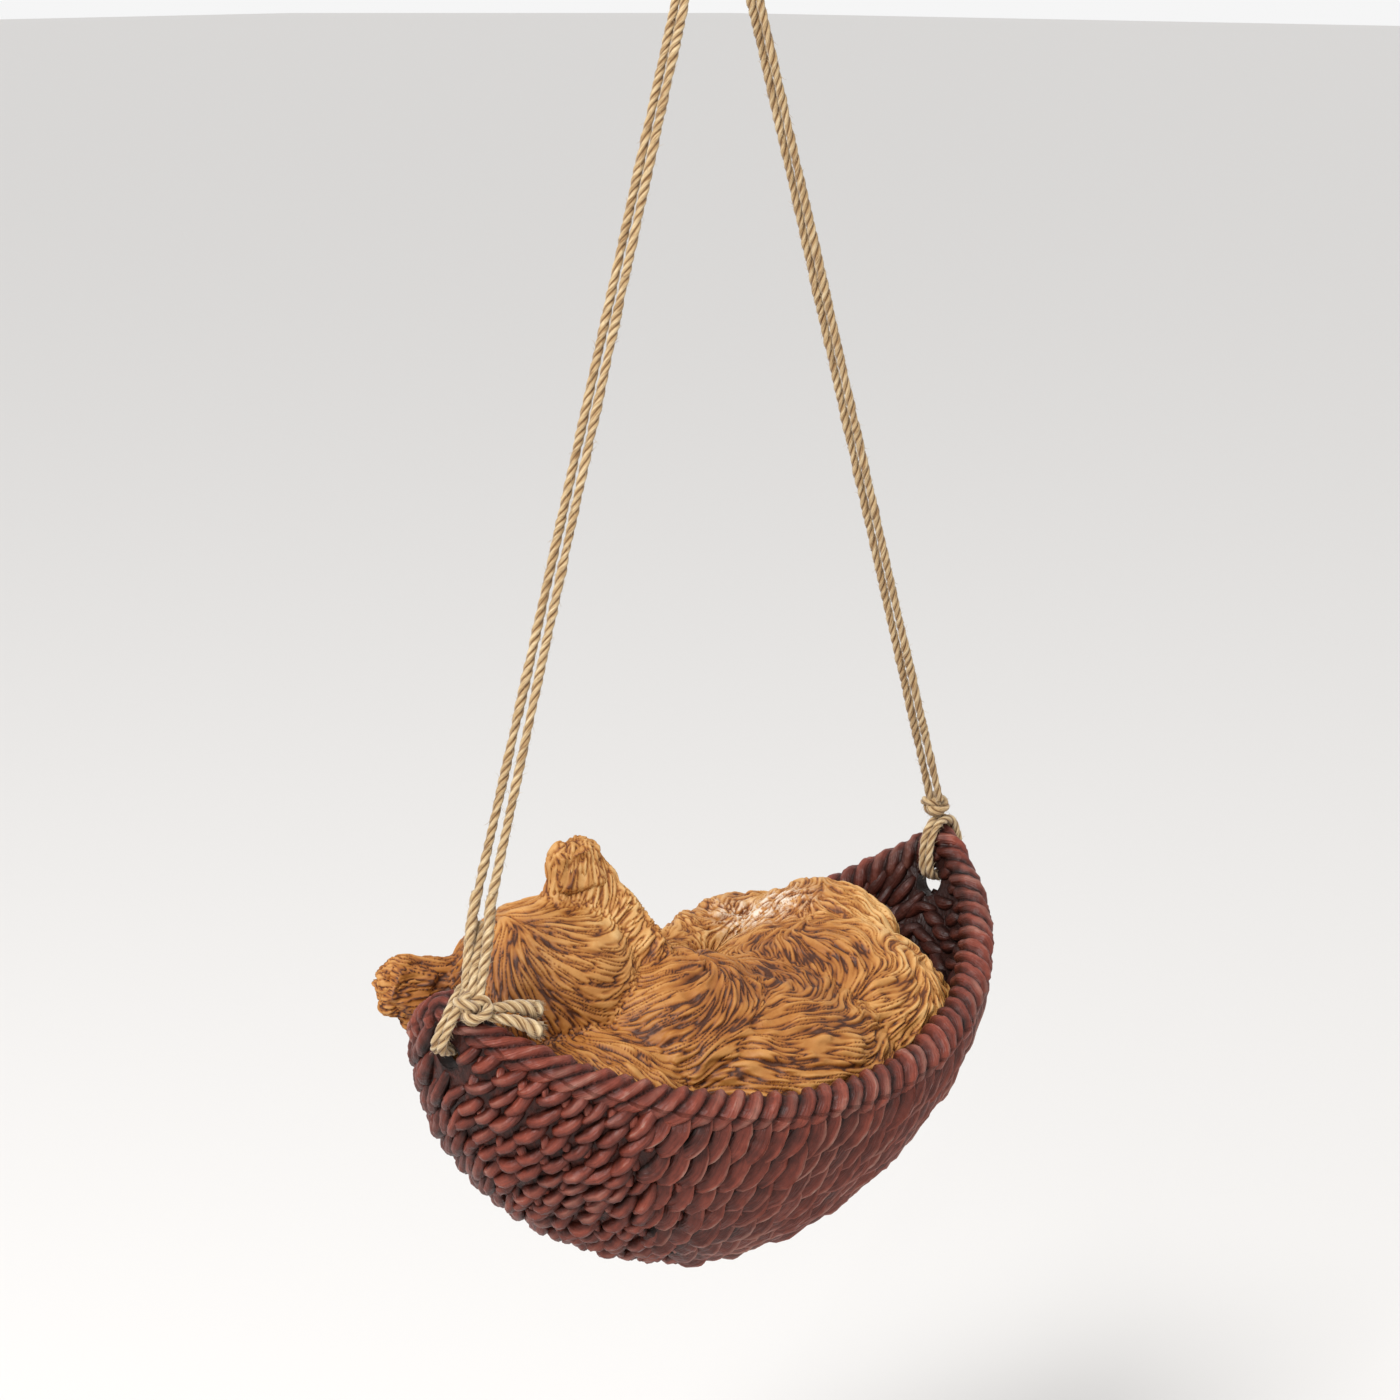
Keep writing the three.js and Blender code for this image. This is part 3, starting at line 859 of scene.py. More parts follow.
# ---- basket -------------------------------------------------------------------------------------
@dataclass(frozen=True)
class Hull:
    """The boat-shaped wall of the basket, as surfaces of an angle round it and a sweep down it."""

    half_length: float = 82.3
    half_width: float = 43.9
    width_power: float = 1.28
    tip_rise: float = 11.4
    sag: float = 29.3
    sag_power: float = 1.29
    border_tip_radius: float = 3.0
    border_gain: float = 0.9
    keel_z: float = -67.2
    keel_shift: float = -7.5
    reach_power: float = 1.13
    fall_power: float = 1.18
    wall: float = 5.0
    hole_radius: float = 3.4
    hole_z: float = -1.5

    def border_radius(self, angle: np.ndarray) -> np.ndarray:
        """Radius of the border's roll."""
        return self.border_tip_radius + self.border_gain * np.abs(np.sin(angle))

    def crest(self, angle: np.ndarray) -> np.ndarray:
        """Height of the border's crest."""
        return self.tip_rise - self.sag * np.abs(np.sin(angle)) ** self.sag_power

    def plan(self, angle: np.ndarray, outset: np.ndarray) -> tuple[np.ndarray, np.ndarray]:
        """Plan place, moved outwards by the outset."""
        sine = np.sin(angle)
        wide = (self.half_width + outset) * np.sign(sine) * np.abs(sine) ** self.width_power
        return (self.half_length + outset) * np.cos(angle), wide

    def border_centre(self, angle: np.ndarray) -> np.ndarray:
        """Centre of the border's roll."""
        x, y = self.plan(angle, np.zeros_like(angle))
        return np.stack([x, y, self.crest(angle) - self.border_radius(angle)], axis=-1)

    def wall_point(self, angle: np.ndarray, sweep: np.ndarray, depth: float) -> np.ndarray:
        """A place on the wall, this deep under its outer surface."""
        angle, sweep = np.broadcast_arrays(angle, sweep)
        down = np.clip(sweep, 0, 1) * math.pi / 2
        reach = np.cos(down) ** self.reach_power
        fall = np.sin(down) ** self.fall_power
        radius = self.border_radius(angle)
        x, y = self.plan(angle, radius - depth)
        top = self.crest(angle) - radius
        z = top + (self.keel_z + depth - top) * fall
        return np.stack([x * reach + self.keel_shift * fall, y * reach, z], axis=-1)

    def angle_at(self, share: np.ndarray) -> np.ndarray:
        """The angle at a share of the way round the border, from 0 to 1 and on."""
        dense = np.linspace(0, TURN, 1441)
        lengths = lengths_along(self.border_centre(dense))
        return np.interp(share % 1.0, lengths / lengths[-1], dense) + np.floor(share) * TURN

    def wall_frame(self, share: np.ndarray, sweep: np.ndarray, depth: float) -> tuple[np.ndarray, ...]:
        """Place, outward normal, and the two derivatives by share of the way round and by sweep."""
        nudge = 1.5e-3
        angle = self.angle_at(share)
        place = self.wall_point(angle, sweep, depth)
        ahead = self.wall_point(self.angle_at(share + nudge), sweep, depth)
        behind = self.wall_point(self.angle_at(share - nudge), sweep, depth)
        low, high = np.clip(sweep - nudge, 0, 0.996), np.clip(sweep + nudge, 0.003, 1)
        lower, upper = self.wall_point(angle, high, depth), self.wall_point(angle, low, depth)
        by_sweep = (lower - upper) / (high - low)[..., None]
        by_share = (ahead - behind) / (2 * nudge)
        return place, unit(np.cross(by_sweep, by_share)), by_share, by_sweep

    def pulled_inside(self, points: np.ndarray, depth: float) -> np.ndarray:
        """Points, with those below the border and past the wall brought back to this depth in it.

        Args:
            points: places about the datum.
            depth: how deep in the wall the outermost ones may lie.
        Returns:
            The places, moved level towards the middle where needed.
        """
        x, y, z = points.T
        angle = np.arctan2(y, x)
        for _ in range(5):
            radius = self.border_radius(angle)
            top = self.crest(angle) - radius
            fall = np.clip((top - z) / (top - self.keel_z - depth), 0.0, 0.98)
            reach = np.cos(np.arcsin(fall ** (1 / self.fall_power))) ** self.reach_power
            long = (self.half_length + radius - depth) * reach
            wide = (self.half_width + radius - depth) * reach
            off_x = (x - self.keel_shift * fall) / long
            off_y = y / wide
            sine = np.sign(off_y) * np.abs(off_y) ** (1 / self.width_power)
            angle = np.arctan2(sine, off_x)
        level = off_x**2 + np.abs(off_y) ** (2 / self.width_power)
        shrink = np.where((level > 1) & (z < top), level ** -0.56, 1.0)
        return np.stack([off_x * shrink * long + self.keel_shift * fall, y * shrink, z], axis=1)

    def girth(self, sweep: float, depth: float) -> float:
        """Length round the wall at this sweep."""
        dense = np.linspace(0, TURN, 721)
        return line_length(self.wall_point(dense, np.full_like(dense, sweep), depth))

    def sweeps(self, spacing: float, depth: float) -> np.ndarray:
        """Sweeps of rows this far apart down the middle of the near side."""
        dense = np.linspace(0, 1, 400)
        lengths = lengths_along(self.wall_point(np.full_like(dense, -math.pi / 2), dense, depth))
        return np.interp(np.arange(spacing * 0.7, lengths[-1] - 1.0, spacing), lengths, dense)


@dataclass(frozen=True)
class Canes:
    """Where a set of short canes lies on the wall, one entry each."""

    round_share: np.ndarray
    sweep: np.ndarray
    slope: np.ndarray
    bend: np.ndarray
    length: np.ndarray
    half_width: np.ndarray
    height: np.ndarray
    tone: np.ndarray


class CaneSection(Enum):
    """Sections of a cane, from its lower edge over the top and back under: across, up, and paint level. In
    ROUND the paint level is partly dry-brushed paint on the crest and partly painted light: a painted
    highlight on the +across flank and painted shade on the other.
    """

    # Paint column: dry-brushed paint on the crest, a painted highlight on the +across flank (the upper-left
    # one on the near side), and painted shade on the -across flank.
    ROUND = (
        (-1.0, -0.3, 0.0), (-0.88, 0.42, 0.15), (-0.45, 0.92, 0.45), (0.1, 1.0, 0.68),
        (0.60, 0.86, 0.80), (0.93, 0.34, 0.3), (1.0, -0.4, 0.0), (0.0, -0.6, 0.0),
    )
    LIPPED = (
        (-1.0, -0.2, 0.0), (-0.96, 0.6, 0.35), (-0.76, 1.0, 1.0), (-0.42, 0.84, 0.55), (0.1, 0.62, 0.48),
        (0.62, 0.36, 0.34), (0.98, 0.0, 0.05), (1.0, -0.4, 0.0), (0.0, -0.6, 0.0),
    )


@dataclass(frozen=True)
class WickerBasket:
    """The basket: a wall with holes, woven canes outside and in, stake ends and a plaited border."""

    hull: Hull = field(default_factory=Hull)
    row_spacing: float = 4.2
    column_spacing: float = 4.9
    border_pitch: float = 4.7
    border_twist: int = 3
    outer_depth: float = 1.3
    early_rise: float = 0.75

    def shell(self) -> bpy.types.Object:
        """The closed wall under the canes, bored at both ends."""
        around, down = 260, 56
        angle = np.arange(around) / around * TURN
        outer_depth, inner_depth = self.outer_depth + 0.2, self.hull.wall
        parts = MeshParts()
        sweeps = np.linspace(0, 1, down) ** 0.9
        rows = [self.hull.wall_point(angle, np.full_like(angle, s), outer_depth) for s in sweeps[:-1]]
        rows = rows[::-1] + [self.hull.border_centre(angle) + vec(0, 0, 1.0)]
        rows += [self.hull.wall_point(angle, np.full_like(angle, s), inner_depth) for s in sweeps[:-1]]
        points = np.concatenate(rows)
        faces = grid_faces(len(rows), around).tolist()
        keel_out = self.hull.wall_point(np.zeros(1), np.ones(1), outer_depth)
        keel_in = self.hull.wall_point(np.zeros(1), np.ones(1), inner_depth)
        points = np.concatenate([points, keel_out, keel_in])
        faces += end_fans(len(rows), around, len(points))
        # inside: 1 on the inner wall, which takes the darker inside colour, partly paint and partly painted
        # shade.
        inside = np.concatenate([np.zeros(around * down), np.ones(around * (down - 1)), [0, 1]])
        blank = np.zeros(len(points))
        parts.add(points, faces, relief=blank + 0.2, tone=blank, inside=inside, grain=points * 0.6)
        piece = parts.build("basket_wall")
        edit_whole(piece, bpy.ops.mesh.normals_make_consistent, inside=False)
        self.bore(piece)
        return piece

    def bore(self, piece: bpy.types.Object) -> None:
        """Cuts the two holes for the twine."""
        select_only(piece)
        centre = to_frame(vec(0, 0, self.hull.hole_z))
        bpy.ops.mesh.primitive_cylinder_add(
            vertices=28, radius=self.hull.hole_radius * MM, depth=0.24,
            location=centre, rotation=(0, math.pi / 2, 0),
        )
        drill = bpy.context.object
        apply_modifier(piece, "BOOLEAN", object=drill, operation="DIFFERENCE", solver="EXACT")
        bpy.data.objects.remove(drill, do_unlink=True)

    def lay_canes(
        self, name: str, canes: Canes, depth: float, inwards: bool, rings: int = 8, blunt: float = 0.55,
        shape: CaneSection = CaneSection.ROUND,
    ) -> bpy.types.Object:
        """Builds many canes that follow the wall.

        Args:
            name: the piece's name.
            canes: where they lie and how big they are.
            depth: how deep in the wall their feet are.
            inwards: whether they stand on the wall's inner side.
            rings: sections along each cane.
            blunt: how blunt the ends are, from 1, pointed, down to 0.
            shape: the section.
        Returns:
            The piece.
        """
        share = np.linspace(0, 1, rings)[None, :]
        facing = -1.0 if inwards else 1.0
        _, _, by_share, by_sweep = self.hull.wall_frame(canes.round_share, canes.sweep, depth)
        per_share = np.linalg.norm(by_share, axis=-1)[:, None]
        per_sweep = np.linalg.norm(by_sweep, axis=-1)[:, None]
        slope = canes.slope[:, None] + canes.bend[:, None] * (share - 0.5)
        along = (share - 0.5) * canes.length[:, None]
        around = canes.round_share[:, None] + along * np.cos(slope) / per_share
        sweep = np.clip(canes.sweep[:, None] - along * np.sin(slope) / per_sweep, 0.0, 0.992)
        place, normal, _, _ = self.hull.wall_frame(around, sweep, depth)
        normal = normal * facing
        run = unit(np.gradient(place, axis=1))
        across = np.cross(normal, run)
        swell = np.sin(np.pi * (0.06 + 0.88 * share)) ** blunt
        rise = np.sin(np.pi * (0.06 + 0.88 * share) ** self.early_rise) ** 0.7
        section = np.array(shape.value)
        width = canes.half_width[:, None] * swell
        height = canes.height[:, None] * rise
        sunk = (1 - rise) * 0.7
        spread = section[None, None, :, 0] * width[..., None]
        lifted = section[None, None, :, 1] * height[..., None] - sunk[..., None]
        points = (
            place[:, :, None, :]
            + across[:, :, None, :] * spread[..., None]
            + normal[:, :, None, :] * lifted[..., None]
        )
        number, sides = len(canes.sweep), len(section)
        block = rings * sides
        flat = points.reshape(-1, 3)
        outward = np.broadcast_to(normal[:, :, None, :], points.shape).reshape(-1, 3)
        rough = 0.26 * LatticeNoise(46)(flat, 0.9) + 0.34 * LatticeNoise(47)(flat, 2.1)
        points = (flat + outward * rough[:, None]).reshape(number, block, 3)
        pattern = grid_faces(rings, sides).tolist()
        pattern.append(list(range(sides))[::-1])
        pattern.append([(rings - 1) * sides + k for k in range(sides)])
        if facing < 0:
            pattern = [face[::-1] for face in pattern]
        relief = section[:, 2][None, None, :] * (0.35 + 0.65 * rise[:, :, None])
        relief = np.broadcast_to(relief, (number, rings, sides)).reshape(number, -1)
        grain = np.zeros((number, rings, sides, 3))
        grain[..., 0] = along[:, :, None]
        grain[..., 1] = spread
        grain[..., 2] = (np.arange(number) * 3.7)[:, None, None]
        parts = MeshParts()
        for i in range(number):
            ones = np.ones(block)
            parts.add(points[i], pattern, relief=relief[i], tone=ones * canes.tone[i],
                      inside=ones * float(inwards), grain=grain[i].reshape(-1, 3))
        return parts.build(name)

    def lean(self, share: np.ndarray) -> np.ndarray:
        """How far along the basket a place is: 0 at the head end's tip, 1 at the rump end's tip."""
        return 0.5 + 0.5 * np.cos(self.hull.angle_at(share))

    def scatter(
        self, rng: np.random.Generator, rows: float, columns: float, depth: float, room: float,
        offset: float = 0.0,
    ) -> tuple[np.ndarray, np.ndarray]:
        """Places of canes in staggered rows, clear of the holes.

        Args:
            rng: where the small irregularities come from.
            rows: spacing of the rows.
            columns: spacing along a row.
            depth: how deep in the wall they lie.
            room: how far they keep off the middle of a hole.
            offset: how far along the row they are moved, in columns.
        Returns:
            Shares of the way round, and sweeps.
        """
        shares, sweeps = [], []
        for number, sweep in enumerate(self.hull.sweeps(rows, depth)):
            count = int(round(self.hull.girth(sweep, depth) / columns))
            if count < 6:
                continue
            row = (np.arange(count) + (number % 2) * 0.5 + offset + rng.normal(0, 0.07, count)) / count
            shares.append(row)
            sweeps.append(np.full(count, sweep) + rng.normal(0, 0.005, count))
        share, sweep = np.concatenate(shares), np.concatenate(sweeps)
        place = self.hull.wall_point(self.hull.angle_at(share), sweep, depth)
        keep = np.hypot(place[:, 1], place[:, 2] - self.hull.hole_z) > room
        return share[keep], sweep[keep]

    def short_canes(self) -> bpy.types.Object:
        """Rows of short, round, slanted canes at the head end and under the keel."""
        rng = np.random.default_rng(41)
        share, sweep = self.scatter(
            rng, self.row_spacing, self.column_spacing, self.outer_depth, self.hull.hole_radius + 2.2
        )
        keep = self.steepness(share, sweep) < 0.5
        share, sweep = share[keep], sweep[keep]
        size, steep = len(share), self.steepness(share, sweep)
        canes = Canes(
            share, sweep,
            np.radians(43 + 25 * steep) + rng.normal(0, 0.08, size), np.full(size, math.radians(16)),
            10.4 + 3.0 * steep + rng.normal(0, 0.6, size), 1.56 + 0.3 * steep + 0.12 * rng.normal(0, 1, size),
            (2.2 + 0.25 * rng.normal(0, 1, size)) * (1 - 0.35 * smoothstep(0.4, 0.8, sweep)),
            rng.uniform(-0.6, 0.6, size),
        )
        return self.lay_canes("short_canes", canes, self.outer_depth, inwards=False, rings=12, blunt=0.34)

    def tall_canes(self) -> bpy.types.Object:
        """Steep, long canes with a sharp lip, each over the edge of the next, on the rest of the wall."""
        rng = np.random.default_rng(47)
        rows, columns = self.row_spacing * 1.55, self.column_spacing * 0.95
        share, sweep = self.scatter(rng, rows, columns, self.outer_depth, self.hull.hole_radius + 2.4)
        keep = self.steepness(share, sweep) >= 0.5
        share, sweep = share[keep], sweep[keep]
        size, steep = len(share), self.steepness(share, sweep)
        canes = Canes(
            share, sweep,
            np.radians(40 + 28 * steep) + rng.normal(0, 0.08, size), np.full(size, math.radians(32)),
            8.8 + 5.0 * steep + rng.normal(0, 0.6, size), 1.32 + 0.85 * steep + 0.12 * rng.normal(0, 1, size),
            2.3 + 0.3 * rng.normal(0, 1, size), rng.uniform(-0.6, 0.6, size),
        )
        return self.lay_canes(
            "tall_canes", canes, self.outer_depth, inwards=False, rings=12, blunt=0.28,
            shape=CaneSection.LIPPED,
        )

    def steepness(self, share: np.ndarray, sweep: np.ndarray) -> np.ndarray:
        """How steep and tall the canes are: 0 at the head end and the keel, 1 past the shoulders."""
        return smoothstep(0.07, 0.26, self.lean(share)) * (1 - 0.8 * smoothstep(0.58, 0.88, sweep))

    def inner_canes(self) -> bpy.types.Object:
        """Nearly level, wavy canes on the inner side of the wall."""
        rng = np.random.default_rng(42)
        share, sweep = self.scatter(rng, 3.4, 5.6, self.hull.wall, self.hull.hole_radius + 1.8)
        size = len(share)
        steep = 1 - smoothstep(0.05, 0.22, sweep)
        canes = Canes(
            share, sweep, np.radians(-12) - np.radians(32) * steep + rng.normal(0, 0.1, size),
            np.radians(26) * np.ones(size), 10.6 - 1.5 * steep + rng.normal(0, 0.6, size),
            1.8 + 0.14 * rng.normal(0, 1, size), 1.9 + 0.25 * rng.normal(0, 1, size),
            rng.uniform(-0.4, 0.5, size),
        )
        return self.lay_canes("inner_canes", canes, self.hull.wall, inwards=True)

    def stake_ends(self) -> bpy.types.Object:
        """The square ends of stakes that show between the canes."""
        rng = np.random.default_rng(43)
        share, sweep = self.scatter(
            rng, self.row_spacing, self.column_spacing, self.outer_depth, self.hull.hole_radius + 2.0,
            offset=0.5,
        )
        keep = rng.random(len(share)) < 0.75
        share, sweep = share[keep], sweep[keep] + 0.006
        size = len(share)
        canes = Canes(
            share, sweep, np.radians(84) + rng.normal(0, 0.15, size), np.zeros(size),
            3.4 + 0.3 * rng.normal(0, 1, size), 1.15 + 0.1 * rng.normal(0, 1, size),
            1.0 + 0.15 * rng.normal(0, 1, size), rng.uniform(-0.2, 0.9, size),
        )
        return self.lay_canes("stake_ends", canes, self.outer_depth, inwards=False, rings=4, blunt=0.12)

    def border(self) -> bpy.types.Object:
        """The rolled border, plaited from canes that wrap round it on a slant."""
        dense = np.linspace(0, TURN, 2881)
        lengths = lengths_along(self.hull.border_centre(dense))
        rings, sides = 960, 32
        along = np.linspace(0, lengths[-1], rings, endpoint=False)
        angle = np.interp(along, lengths, dense)
        centre = self.hull.border_centre(angle)
        tangent = unit(np.roll(centre, -1, axis=0) - np.roll(centre, 1, axis=0))
        outward = unit(np.cross(tangent, vec(0, 0, 1)))
        upward = np.cross(outward, tangent)
        turn = np.arange(sides) / sides * TURN
        wraps = round(lengths[-1] / self.border_pitch)
        sheared = 0.36 - 0.38 * smoothstep(0.10, 0.26, 0.5 + 0.5 * np.cos(angle))
        phase = (
            along[:, None] / lengths[-1] * wraps
            - (self.border_twist * turn[None, :]) / TURN
            - sheared[:, None] * np.sin(turn[None, :] - 0.8)
        )
        noise = LatticeNoise(44)
        cell = np.floor(phase) % wraps
        inside_cell = (phase % 1.0) ** 1.35
        lobe = np.sin(np.pi * inside_cell) ** 0.6
        irregular = np.random.default_rng(45).normal(0, 1, wraps + 1)[cell.astype(int)]
        radius = self.hull.border_radius(angle)[:, None] * (0.72 + (0.42 + 0.06 * irregular) * lobe)
        flat = around_line(centre, outward, upward, turn[None, :], radius).reshape(-1, 3)
        radial = unit(flat - np.repeat(centre, sides, axis=0))
        rough = 0.30 * noise(flat, 0.9) + 0.30 * noise(flat, 2.0) + 0.35 * noise(flat, 5.0)
        flat = flat + radial * rough[:, None]
        girth = np.broadcast_to(turn[None, :] * 3.5, phase.shape)
        grain = np.stack([girth, phase * self.border_pitch, cell * 5.1], axis=-1).reshape(-1, 3)
        # The roll's inward side takes the darker inside colour, partly paint and partly painted shade.
        facing_in = smoothstep(-0.2, -0.8, np.broadcast_to(np.cos(turn)[None, :], phase.shape)).ravel()
        parts = MeshParts()
        parts.add(flat, grid_faces(rings, sides, closed_rows=True), relief=0.8 * lobe.ravel(),
                  tone=(0.5 * irregular).ravel(), inside=facing_in * 0.8, grain=grain)
        piece = parts.build("plaited_border")
        edit_whole(piece, bpy.ops.mesh.normals_make_consistent, inside=False)
        return piece

    def build(self, finish: bpy.types.Material) -> list[bpy.types.Object]:
        """Makes and dresses the basket."""
        made = [self.shell(), self.short_canes(), self.tall_canes()]
        made += [self.inner_canes(), self.stake_ends(), self.border()]
        for piece in made:
            piece.data.materials.clear()
            piece.data.materials.append(finish)
            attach(piece, Body.BASKET.value)
            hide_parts("basket")
        return made


# ---- cat ----------------------------------------------------------------------------------------
@dataclass(frozen=True)
class Lump:
    """One ellipsoid of the cat's mass."""

    centre: tuple[float, float, float]
    radii: tuple[float, float, float]
    on_head: bool = False


@dataclass(frozen=True)
class Comb:
    """Which way the fur runs at a place."""

    at: tuple[float, float, float]
    run: tuple[float, float, float]


@dataclass(frozen=True)
class Patch:
    """A round patch of a paint tone."""

    at: tuple[float, float, float]
    reach: float
    amount: float


BEHIND = unit(vec(-0.73, -0.64, 0.23))  # from the cat towards someone who stands behind its head
ACROSS = unit(vec(0.66, -0.75, 0.0))  # to that person's right
ABOVE = np.cross(BEHIND, ACROSS)


def seen_from_behind(place: tuple[float, float, float], right: float, up: float) -> Comb:
    """A comb stroke given as right and up for someone who stands behind the head."""
    return Comb(place, tuple(ACROSS * right + ABOVE * up))


@dataclass(frozen=True)
class Head:
    """The head's place and the frame of its own right, front and top."""

    centre: tuple[float, float, float] = (-37.5, 18.0, -4.0)
    right: tuple[float, float, float] = (0.752, -0.395, 0.529)
    top: tuple[float, float, float] = (-0.272, 0.544, 0.793)

    def axes(self) -> np.ndarray:
        """Rows: right, front and top."""
        right, top = unit(np.array(self.right)), unit(np.array(self.top))
        front = unit(np.cross(top, right))
        return np.stack([right, front, np.cross(right, front)])

    def place(self, right: float, front: float, top: float) -> np.ndarray:
        """A place given along the head's own axes."""
        return np.array(self.centre) + vec(right, front, top) @ self.axes()

    def local(self, points: np.ndarray) -> np.ndarray:
        """Places as right, front and top of the head's centre."""
        return (points - np.array(self.centre)) @ self.axes().T


@dataclass(frozen=True)
class CastCat:
    """The sleeping cat: massed from lumps, fused, then carved with fur strokes along combed lines."""

    head: Head = field(default_factory=Head)
    hull: Hull = field(default_factory=Hull)
    right_ear_tip: tuple[float, float, float] = (-31.0, 14.5, 28.4)
    left_ear_tip: tuple[float, float, float] = (-69.0, 34.0, 3.0)
    right_ear_root: tuple[float, float, float] = (12.5, -2.0, -4.0)
    left_ear_root: tuple[float, float, float] = (-9.0, 0.0, -2.0)
    ear_root_half: float = 18.0
    ear_tip_half: float = 7.0
    ear_half_depth: float = 5.5
    base_cut: float = -40.0
    voxel: float = 0.62
    splits: tuple[float, ...] = (-46.0, -26.0, -6.0, 14.0, 36.0)

    def lumps(self) -> list[Lump]:
        """The masses of head, body and limbs."""
        head = [
            Lump((0, 0, 0), (23, 21, 20), True),
            Lump((4.6, 17, -7.5), (7.4, 8.0, 6.4), True),
            Lump((-4.6, 17, -7.5), (7.4, 8.0, 6.4), True),
            Lump((0, 14, -11), (7, 8, 5), True),
            Lump((0, 15, 0), (6.5, 9, 7), True),
            Lump((0, 23.6, -4.2), (3.0, 2.2, 2.3), True),
            Lump((13, 6, -7), (10, 11, 10), True),
            Lump((-13, 6, -7), (10, 11, 10), True),
        ]
        body = [
            Lump((2, -9, -31), (38, 32, 28)),
            Lump((32, -4, -28), (32, 32, 28)),
            Lump((46, 8, -14.5), (20, 20, 18)),
            Lump((-15, -2, -19), (27, 24, 22)),
            Lump((-41, -2, -25), (27, 22, 18)),
            Lump((-10, 22, -28), (20, 12, 13)),
            Lump((-20, 31, -17), (9, 8, 7)),
        ]
        tail = [(60, -8, -34), (65, 8, -27), (59, 20, -16), (42, 26, -9), (24, 27, -9.5), (6, 24, -13)]
        line = Route(tuple(tail)).sample(5.0)
        return head + body + [Lump(tuple(place), (7.5, 7.5, 7.5)) for place in line]

    def add_ball(self, centre: np.ndarray, half_axes: list[np.ndarray]) -> bpy.types.Object:
        """Adds a sphere stretched onto three half axes."""
        bpy.ops.mesh.primitive_uv_sphere_add(segments=32, ring_count=20, radius=1.0)
        ball = bpy.context.object
        shape_mesh(ball, centre, half_axes)
        return ball

    def add_lump(self, lump: Lump) -> bpy.types.Object:
        """Adds one lump as a shaped sphere."""
        axes = self.head.axes() if lump.on_head else np.eye(3)
        centre = self.head.place(*lump.centre) if lump.on_head else np.array(lump.centre)
        return self.add_ball(centre, [axis * radius * MM for axis, radius in zip(axes, lump.radii)])

    def add_ear(self, root: np.ndarray, tip: np.ndarray) -> bpy.types.Object:
        """Adds an ear: a flattened, tapered and rounded post."""
        bpy.ops.mesh.primitive_cone_add(
            vertices=40, radius1=self.ear_root_half, radius2=self.ear_tip_half, depth=1.0,
            end_fill_type="NGON",
        )
        ear = bpy.context.object
        run = tip - root
        front = self.head.axes()[1]
        upward = unit(run)
        front = unit(front - upward * (front @ upward))
        across = np.cross(front, upward)
        flat = self.ear_half_depth / self.ear_root_half
        tip = tip - upward * self.ear_tip_half * 0.75
        shape_mesh(ear, (root + tip) / 2, [across * MM, front * flat * MM, (tip - root) * MM])
        half = self.ear_tip_half
        cap = self.add_ball(tip, [across * half * MM, front * 3.2 * MM, upward * half * MM])
        select_only(ear, cap)
        bpy.ops.object.join()
        return ear

    def mass(self) -> bpy.types.Object:
        """The fused, smoothed mass before carving."""
        bpy.ops.object.select_all(action="DESELECT")
        balls = [self.add_lump(lump) for lump in self.lumps()]
        balls.append(self.add_ear(self.head.place(*self.right_ear_root), np.array(self.right_ear_tip)))
        balls.append(self.add_ear(self.head.place(*self.left_ear_root), np.array(self.left_ear_tip)))
        select_only(*balls)
        bpy.ops.object.join()
        piece = balls[0]
        piece.name = "cat_mass"
        piece.matrix_world = Matrix.Identity(4)
        voxel = self.voxel * 1.0
        apply_modifier(piece, "REMESH", mode="VOXEL", voxel_size=voxel * MM, use_smooth_shade=True)
        apply_modifier(piece, "SMOOTH", factor=0.6, iterations=int(10 / voxel**2) + 2)
        apply_modifier(piece, "SUBSURF", levels=1, render_levels=1)
        self.cut(piece, vec(0, 0, self.base_cut), vec(0, 0, 1))
        return piece

    def cut(self, piece: bpy.types.Object, place: np.ndarray, keep: np.ndarray) -> None:
        """Cuts a mesh with a plane and closes it, and keeps the side that keep points to."""
        plane = {"plane_co": to_frame(place), "plane_no": keep}
        edit_whole(piece, bpy.ops.mesh.bisect, **plane, use_fill=True, clear_inner=True, threshold=1e-7)
        for face in piece.data.polygons:
            if len(face.vertices) > 8:
                face.use_smooth = False

    def combs(self) -> list[Comb]:
        """Which way the fur runs, from the head to the tail."""
        parting = [
            ((-49, 17, 15), 0.2, -1), ((-50, 13, 11), 0.45, -0.9), ((-51, 5, 4), 0.5, -0.87),
            ((-48, 0, -2), 0.62, -0.78), ((-44, -9, -8), 0.7, -0.7), ((-41, -19, -13), 0.85, -0.5),
        ]
        hanging = [
            ((-55, 19, 7), -0.35, -0.94), ((-56, 12, 5), -0.15, -1), ((-54, 5, -1), 0.2, -1),
            ((-52, -2, -9), 0.4, -0.92), ((-57, 20, -3), -0.2, -1),
        ]
        nape = [
            ((-44, 16, 15), 0.8, -0.4), ((-44, 5, 11), 0.95, -0.1), ((-35, 5, 13), 0.85, 0.45),
            ((-27, 7, 15), 0.5, 0.85), ((-24, 4, 8), 0.6, 0.8), ((-39, -2, 4), 1, -0.1),
            ((-28, -5, 0), 0.9, 0.4), ((-32, -9, -3), 0.9, 0.25), ((-40, -3, -3), 0.95, -0.25),
        ]
        ears = [
            ((-35, 11, 16), 0, 1), ((-35, 15, 24), -0.35, 0.93), ((-33, 13, 25), 0, 1),
            ((-30, 10, 22), 0.45, 0.9), ((-37, 15, 17), -0.6, 0.8),
            ((-58, 27, 4), -0.9, 0.2), ((-63, 30, 6), -0.95, 0.3), ((-67, 32, 4), -1, 0.1),
            ((-63, 28, 1), -0.85, -0.3), ((-66, 30, -1), -0.9, -0.3),
        ]
